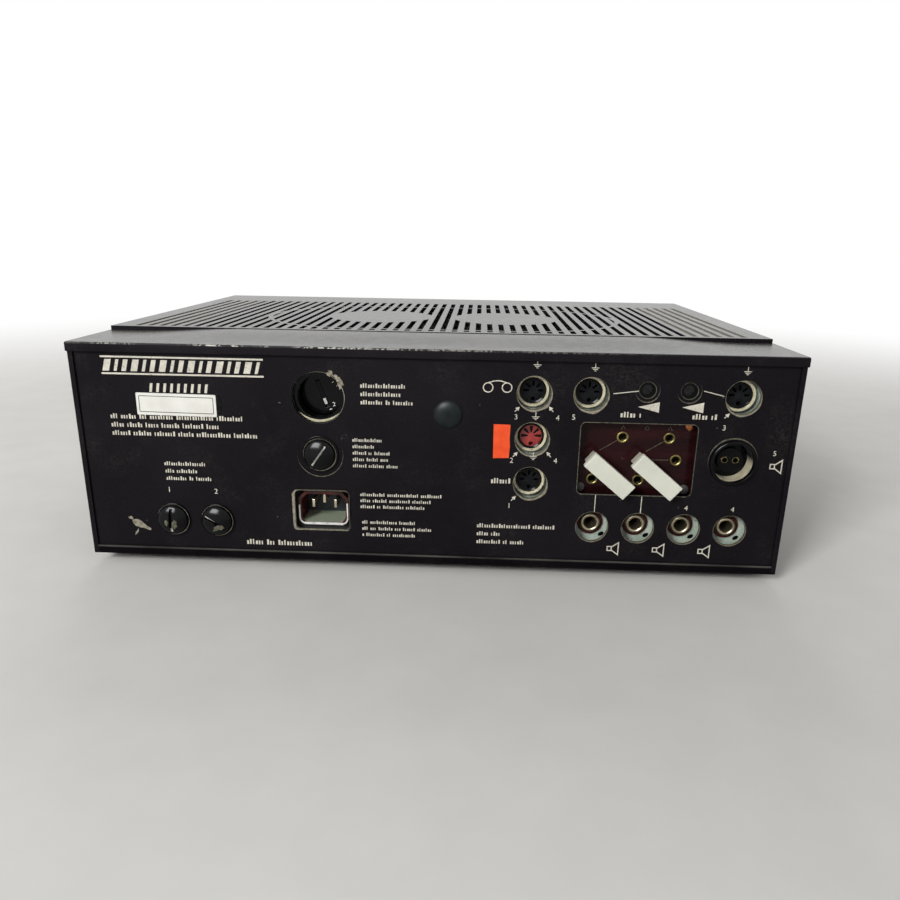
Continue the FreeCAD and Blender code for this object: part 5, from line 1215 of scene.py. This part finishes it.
def make_terminals():
    """The terminal board with its eyelets, fastenings and thin printed lines, and the two links."""
    dress("paper_laminate", "terminal_board")
    at, face = spot("terminal_board"), face_of("terminal_board")
    places = [at + [21.6, -1.5]]
    for index in range(2):
        middle = at + [24 * index - 14, -7.55]
        places += [at + [24 * index - 6.8, 10.3], at + [24 * index - 21, -12.9]]
        places += [middle + [-5.745, 4.821], middle + [5.745, -4.821]]
    roll = [(2.0, -2.8), (2.0, 0.12), (2.15, 0.3), (2.4, 0.39), (2.7, 0.39), (2.98, 0.28), (3.08, 0.08)]
    roll += [(3.08, 0.0), (2.25, 0.0), (2.25, -2.8)]
    lathe("eyelet_rings", roll, places, "rolled_brass", face, stands_for="terminal_eyelets", count=40)
    head = [(0, 1.5), (1.2, 1.42), (2.0, 1.15), (2.45, 0.9), (2.45, 0.02), (0, 0.02)]
    lathe("board_rivet", head, [at + [27.2, 17.2]], "copper", face)
    lathe("board_screws", head, [at + [27.2, -17.2], at + [-27.2, -17.2]], "moulded_rubber", face)
    shapes = []
    for eyelet in (places[1], places[5]):
        shapes += stroke([eyelet + [-2.8, -1.8], eyelet + [-11.4, -7.4]], 0.3)
        shapes += stroke(eyelet + np.array([[-1.0, 4.3], [0.0, 6.2], [1.0, 4.3]]), 0.22)
    shapes += stroke([at + [8.8, -1.6], at + [17.8, -1.4]], 0.3)
    shapes += stroke(circle(at + [5.4, 15.4], 0.9, 24), 0.22, True)
    stamp("board_lines", shapes, "scuffed_primer", face, 0.005, 0.02)
    softened("yellowed_polystyrene", 0.45, "left_link", "right_link")


def make_fittings():
    """The panel's fittings, each in its own moulding, plate or laminate."""
    make_fuses()
    make_selector()
    make_inlet()
    make_round_sockets()
    make_jacks()
    make_line_socket()
    make_terminals()
    button = [(0, 2.8), (1.5, 2.76), (2.9, 2.62), (4.2, 2.36), (5.3, 2.0), (6.2, 1.52), (6.9, 0.98)]
    button += [(7.3, 0.5), (7.5, 0), (6.2, 0), (6.2, -3), (0, -3)]
    lathe("plug_button", button, spots("blanking_plug"), "polyethylene", stands_for="blanking_plug")
    dress("black_phenolic", "trimmer_bodies")
    softened("knob_phenolic", 0.15, *TRIMMERS)
    dress("passivated_sheet", "chassis_rear_wall")


# ------------------------------------------------------------------------------- front


def make_front():
    """The fascia with its dial scales, the knobs, the two switches and the pilot lamp."""
    softened("grained_aluminium", 0.4, "front_fascia")
    dress("passivated_sheet", "front_wall")
    dress("chromium_plate", *LEVERS)
    dress("zinc_plate", "potentiometers", "switch_bodies")
    dress("amber_acrylic", "pilot_lens")
    shapes = []
    for knob in KNOBS:
        softened("knob_phenolic", 0.5, knob)
        centre = spot(knob, FRONT)
        face = {**FRONT, "level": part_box(knob)[0][1]}
        stamp(knob + "_line", [centre + bar(-0.5, 8.4, 1, 1.5)], "screen_ink", face, -0.02, 0.03, knob)
        for step in range(11):
            angle = math.radians(240 - 30 * step)
            out = np.array([math.cos(angle), math.sin(angle)])
            shapes += stroke([centre + out * 15.8, centre + out * 17.4], LEAD)
            shapes += numeral(str(step), centre + out * 19.6, 2.1)
    softened("chromium_plate", 0.3, "pilot_bezel")
    for index, knob in enumerate(KNOBS[:4]):
        shapes += numeral(str(index + 1), spot(knob, FRONT) + [0, 27], 3.4)
    for lever in LEVERS:
        pivot = np.array([spot(lever, FRONT)[0], spot("switch_bodies", FRONT)[1]])
        shapes += numeral("ON", pivot + [0, 12.5], 2.6) + numeral("OFF", pivot - [0, 12.5], 2.6)
    stamp("dial_scales", shapes, "label_ink", FRONT, 0.01, 0.03)
    # Painted shade: dark bars for screw slots in the fascia's corners.
    slots = []
    for index, corner in enumerate(((0, 0), (1, 0), (0, 1), (1, 1))):
        inward = 8 * (1 - 2 * np.array(corner))
        at = np.array([FASCIA[corner[0], 0], FASCIA[corner[1], 2]]) / MM + inward
        slots += placed([bar(-3, -0.35, 6, 0.7)], 25 + 50 * index, at)
    stamp("fascia_screw_slots", slots, "old_glue", FRONT, 0.01, 0.03)


def make_inside():
    """What shows through the grille and the holes: deck, transformers, tubes, cans and board."""
    for finish_name, *nodes in (
        ("passivated_sheet", "chassis_deck", "tube_bracket"),
        ("zinc_plate", "chassis_spacers"),
        ("laminations", "transformer_cores"),
        ("waxed_paper", "transformer_coils"),
        ("brown_phenolic", "tube_sockets"),
        ("black_phenolic", "output_tube_bases"),
        ("blown_glass", "tube_bulbs"),
        ("drawn_aluminium", "filter_capacitors"),
        ("paper_laminate", "circuit_board"),
        ("dipped_lacquer", "board_components"),
    ):
        dress(finish_name, *nodes)


# ------------------------------------------------------------------------------- stage


def make_stage(look):
    """A pale floor, three soft lamps, one that only shows as a glint, a white surround, the camera."""
    reach = look.floor_reach
    corners = [(-reach, -reach, 0), (reach, -reach, 0), (reach, reach, 0), (-reach, reach, 0)]
    mesh = sheet_mesh("floor", corners, [(0, 1, 2, 3)])
    mesh.materials.append(finish("stage_paper"))
    link(bpy.data.objects.new("floor", mesh))
    # Each lamp, aimed at the origin: its place and side in metres, its power in watts, and whether
    # it lights surfaces and whether it shows in reflections.
    for name, at, size, power, lights_up, shines in (
        ("key", (1.1, 1.7, 1.15), 0.6, 38, True, False),
        ("fill", (-1.3, 0.9, 1.4), 1.4, 2, True, True),
        ("front_fill", (0.2, -1.9, 1.0), 2.0, 22, True, False),
        ("glint", (0.8, 1.5, 1.25), 1.2, 140, False, True),
    ):
        light = bpy.data.lights.new(name, "AREA")
        light.size = size
        light.energy = power
        lamp = link(bpy.data.objects.new(name, light))
        lamp.visible_diffuse = lights_up
        lamp.visible_glossy = shines
        aim = (-Vector(at)).to_track_quat("-Z", "Y").to_matrix().to_4x4()
        lamp.matrix_world = Matrix.Translation(at) @ aim
    world = bpy.data.worlds.new("studio")
    world.use_nodes = True
    bpy.context.scene.world = world
    tree = world.node_tree
    level = add(tree, "MapRange", {0: seen_directly(tree), 3: look.sky, 4: 1.0})
    tree.nodes["Background"].inputs["Color"].default_value = linear("#ffffff")
    tree.links.new(level.outputs[0], tree.nodes["Background"].inputs["Strength"])
    camera = bpy.data.cameras.new("camera")
    camera.sensor_width = 36
    camera.lens = look.lens
    rig = link(bpy.data.objects.new("camera", camera))
    turns = ((look.heading, "Z"), (look.tilt, "X"), (look.roll, "Z"))
    heading, tilt, roll = (Matrix.Rotation(angle, 4, axis) for angle, axis in turns)
    # The camera stands this far, in mm, from the middle of the lid's upper rear edge.
    away = Vector((-24.7, 352.17, 54.58))
    eye = Vector((0, LID[1, 1], LID_TOP)) + MM * away
    rig.matrix_world = Matrix.Translation(eye) @ heading @ tilt @ roll
    bpy.context.scene.camera = rig
    bpy.context.scene.view_settings.view_transform = "Standard"


# ------------------------------------------------------------------------------- add-on


class AmplifierLook(bpy.types.PropertyGroup):
    """The sizes and colours of the amplifier's dress that one may want to change."""

    enamel: FloatVectorProperty(
        name="Enamel", description="Colour of the case's black stove enamel",
        default=linear("#141115")[:3], min=0, max=1, subtype="COLOR",
    )
    ink: FloatVectorProperty(
        name="Ink", description="Colour of the screen print",
        default=linear("#cdc8ba")[:3], min=0, max=1, subtype="COLOR",
    )
    links: FloatVectorProperty(
        name="Links", description="Colour of the two plug-in links",
        default=linear("#d3d4c6")[:3], min=0, max=1, subtype="COLOR",
    )
    dust: FloatProperty(
        name="Dust", description="How strongly dust shows on the enamel",
        default=0.25, min=0, max=1, subtype="FACTOR",
    )
    settled: FloatProperty(
        name="Settled dust", description="How strongly dust greys the lid and the grille",
        default=0.3, min=0, max=1, subtype="FACTOR",
    )
    peel: FloatProperty(
        name="Orange peel", description="Height of the enamel's grain",
        default=0.012 * MM, min=0, unit="LENGTH",
    )
    edge: FloatProperty(
        name="Broken edge", description="Width of the small bevel on the case's sheets",
        default=0.5 * MM, min=0, unit="LENGTH",
    )
    crown: FloatProperty(
        name="Crown", description="How far the lid swells up behind the grille",
        default=2.1 * MM, min=0, unit="LENGTH",
    )
    lid_radius: FloatProperty(
        name="Lid edge", description="Radius of the lid's folded edge", default=1.0 * MM, unit="LENGTH"
    )
    lid_corner: FloatProperty(
        name="Lid corner", description="Radius of the lid's corners", default=1.3 * MM, unit="LENGTH"
    )
    floor_reach: FloatProperty(
        name="Floor", description="Half the side of the floor", default=6.0, unit="LENGTH"
    )
    sky: FloatProperty(
        name="Surround", description="Strength of the white surround as a light", default=0.22, min=0
    )
    lens: FloatProperty(
        name="Lens", description="Focal length of the camera in mm", default=28.59, unit="CAMERA"
    )
    heading: FloatProperty(
        name="Heading", description="Turn of the camera", default=math.radians(182.286), subtype="ANGLE"
    )
    tilt: FloatProperty(
        name="Tilt", description="Tilt of the camera", default=math.radians(73.212), subtype="ANGLE"
    )
    roll: FloatProperty(
        name="Roll", description="Roll of the camera", default=math.radians(0.885), subtype="ANGLE"
    )


class AMPLIFIER_OT_case(bpy.types.Operator):
    """Enamel the case: tray, walls, rear panel, grille, feet and screws"""

    bl_idname = "amplifier.case"
    bl_label = "Case"

    def execute(self, context):
        make_case(context.scene.amplifier_look)
        return {"FINISHED"}


class AMPLIFIER_OT_lid(bpy.types.Operator):
    """Fold the lid's sheet with its rounded rim, lip and crown"""

    bl_idname = "amplifier.lid"
    bl_label = "Lid"

    def execute(self, context):
        make_lid(context.scene.amplifier_look)
        return {"FINISHED"}


class AMPLIFIER_OT_fittings(bpy.types.Operator):
    """Finish the sockets, jacks, fuses, selector, inlet, terminal board and links"""

    bl_idname = "amplifier.fittings"
    bl_label = "Rear fittings"

    def execute(self, context):
        make_fittings()
        return {"FINISHED"}


class AMPLIFIER_OT_print(bpy.types.Operator):
    """Print the rear panel's signs, lines and numbers"""

    bl_idname = "amplifier.print"
    bl_label = "Print"

    def execute(self, context):
        make_print()
        return {"FINISHED"}


class AMPLIFIER_OT_labels(bpy.types.Operator):
    """Stick the blank label and the orange sticker on the rear panel"""

    bl_idname = "amplifier.labels"
    bl_label = "Labels"

    def execute(self, context):
        make_labels()
        return {"FINISHED"}


class AMPLIFIER_OT_wear(bpy.types.Operator):
    """Wear the enamel through round the holes and in patches"""

    bl_idname = "amplifier.wear"
    bl_label = "Wear"

    def execute(self, context):
        make_wear()
        return {"FINISHED"}


class AMPLIFIER_OT_front(bpy.types.Operator):
    """Finish the fascia, its scales, the knobs, the switches and the pilot lamp"""

    bl_idname = "amplifier.front"
    bl_label = "Front"

    def execute(self, context):
        make_front()
        return {"FINISHED"}


class AMPLIFIER_OT_inside(bpy.types.Operator):
    """Finish the deck, transformers, tubes, cans and board inside"""

    bl_idname = "amplifier.inside"
    bl_label = "Inside"

    def execute(self, context):
        make_inside()
        return {"FINISHED"}


class AMPLIFIER_OT_stage(bpy.types.Operator):
    """Set up the pale floor, the lamps, the surround and the camera"""

    bl_idname = "amplifier.stage"
    bl_label = "Stage"

    def execute(self, context):
        make_stage(context.scene.amplifier_look)
        return {"FINISHED"}


OPERATORS = (
    AMPLIFIER_OT_case,
    AMPLIFIER_OT_lid,
    AMPLIFIER_OT_fittings,
    AMPLIFIER_OT_print,
    AMPLIFIER_OT_labels,
    AMPLIFIER_OT_wear,
    AMPLIFIER_OT_front,
    AMPLIFIER_OT_inside,
    AMPLIFIER_OT_stage,
)


class AMPLIFIER_PT_sidebar(bpy.types.Panel):
    """Lists the amplifier's settings and its pieces"""

    bl_idname = "AMPLIFIER_PT_sidebar"
    bl_label = "Tube Amplifier"
    bl_space_type = "VIEW_3D"
    bl_region_type = "UI"
    bl_category = "Amplifier"

    def draw(self, context):
        look = context.scene.amplifier_look
        for name in AmplifierLook.__annotations__:
            self.layout.prop(look, name)
        for operator in OPERATORS:
            self.layout.operator(operator.bl_idname)


def register():
    """Registers the classes, and gives the scene its settings."""
    for made in (AmplifierLook, *OPERATORS, AMPLIFIER_PT_sidebar):
        bpy.utils.register_class(made)
    bpy.types.Scene.amplifier_look = PointerProperty(type=AmplifierLook)


def unregister():
    """Takes the settings and the classes away again."""
    del bpy.types.Scene.amplifier_look
    for made in (AMPLIFIER_PT_sidebar, *reversed(OPERATORS), AmplifierLook):
        bpy.utils.unregister_class(made)


def main():
    """Makes every piece and the stage in order."""
    register()
    bpy.ops.amplifier.case()
    bpy.ops.amplifier.lid()
    bpy.ops.amplifier.fittings()
    bpy.ops.amplifier.print()
    bpy.ops.amplifier.labels()
    bpy.ops.amplifier.wear()
    bpy.ops.amplifier.front()
    bpy.ops.amplifier.inside()
    bpy.ops.amplifier.stage()


if __name__ == "__main__":
    main()
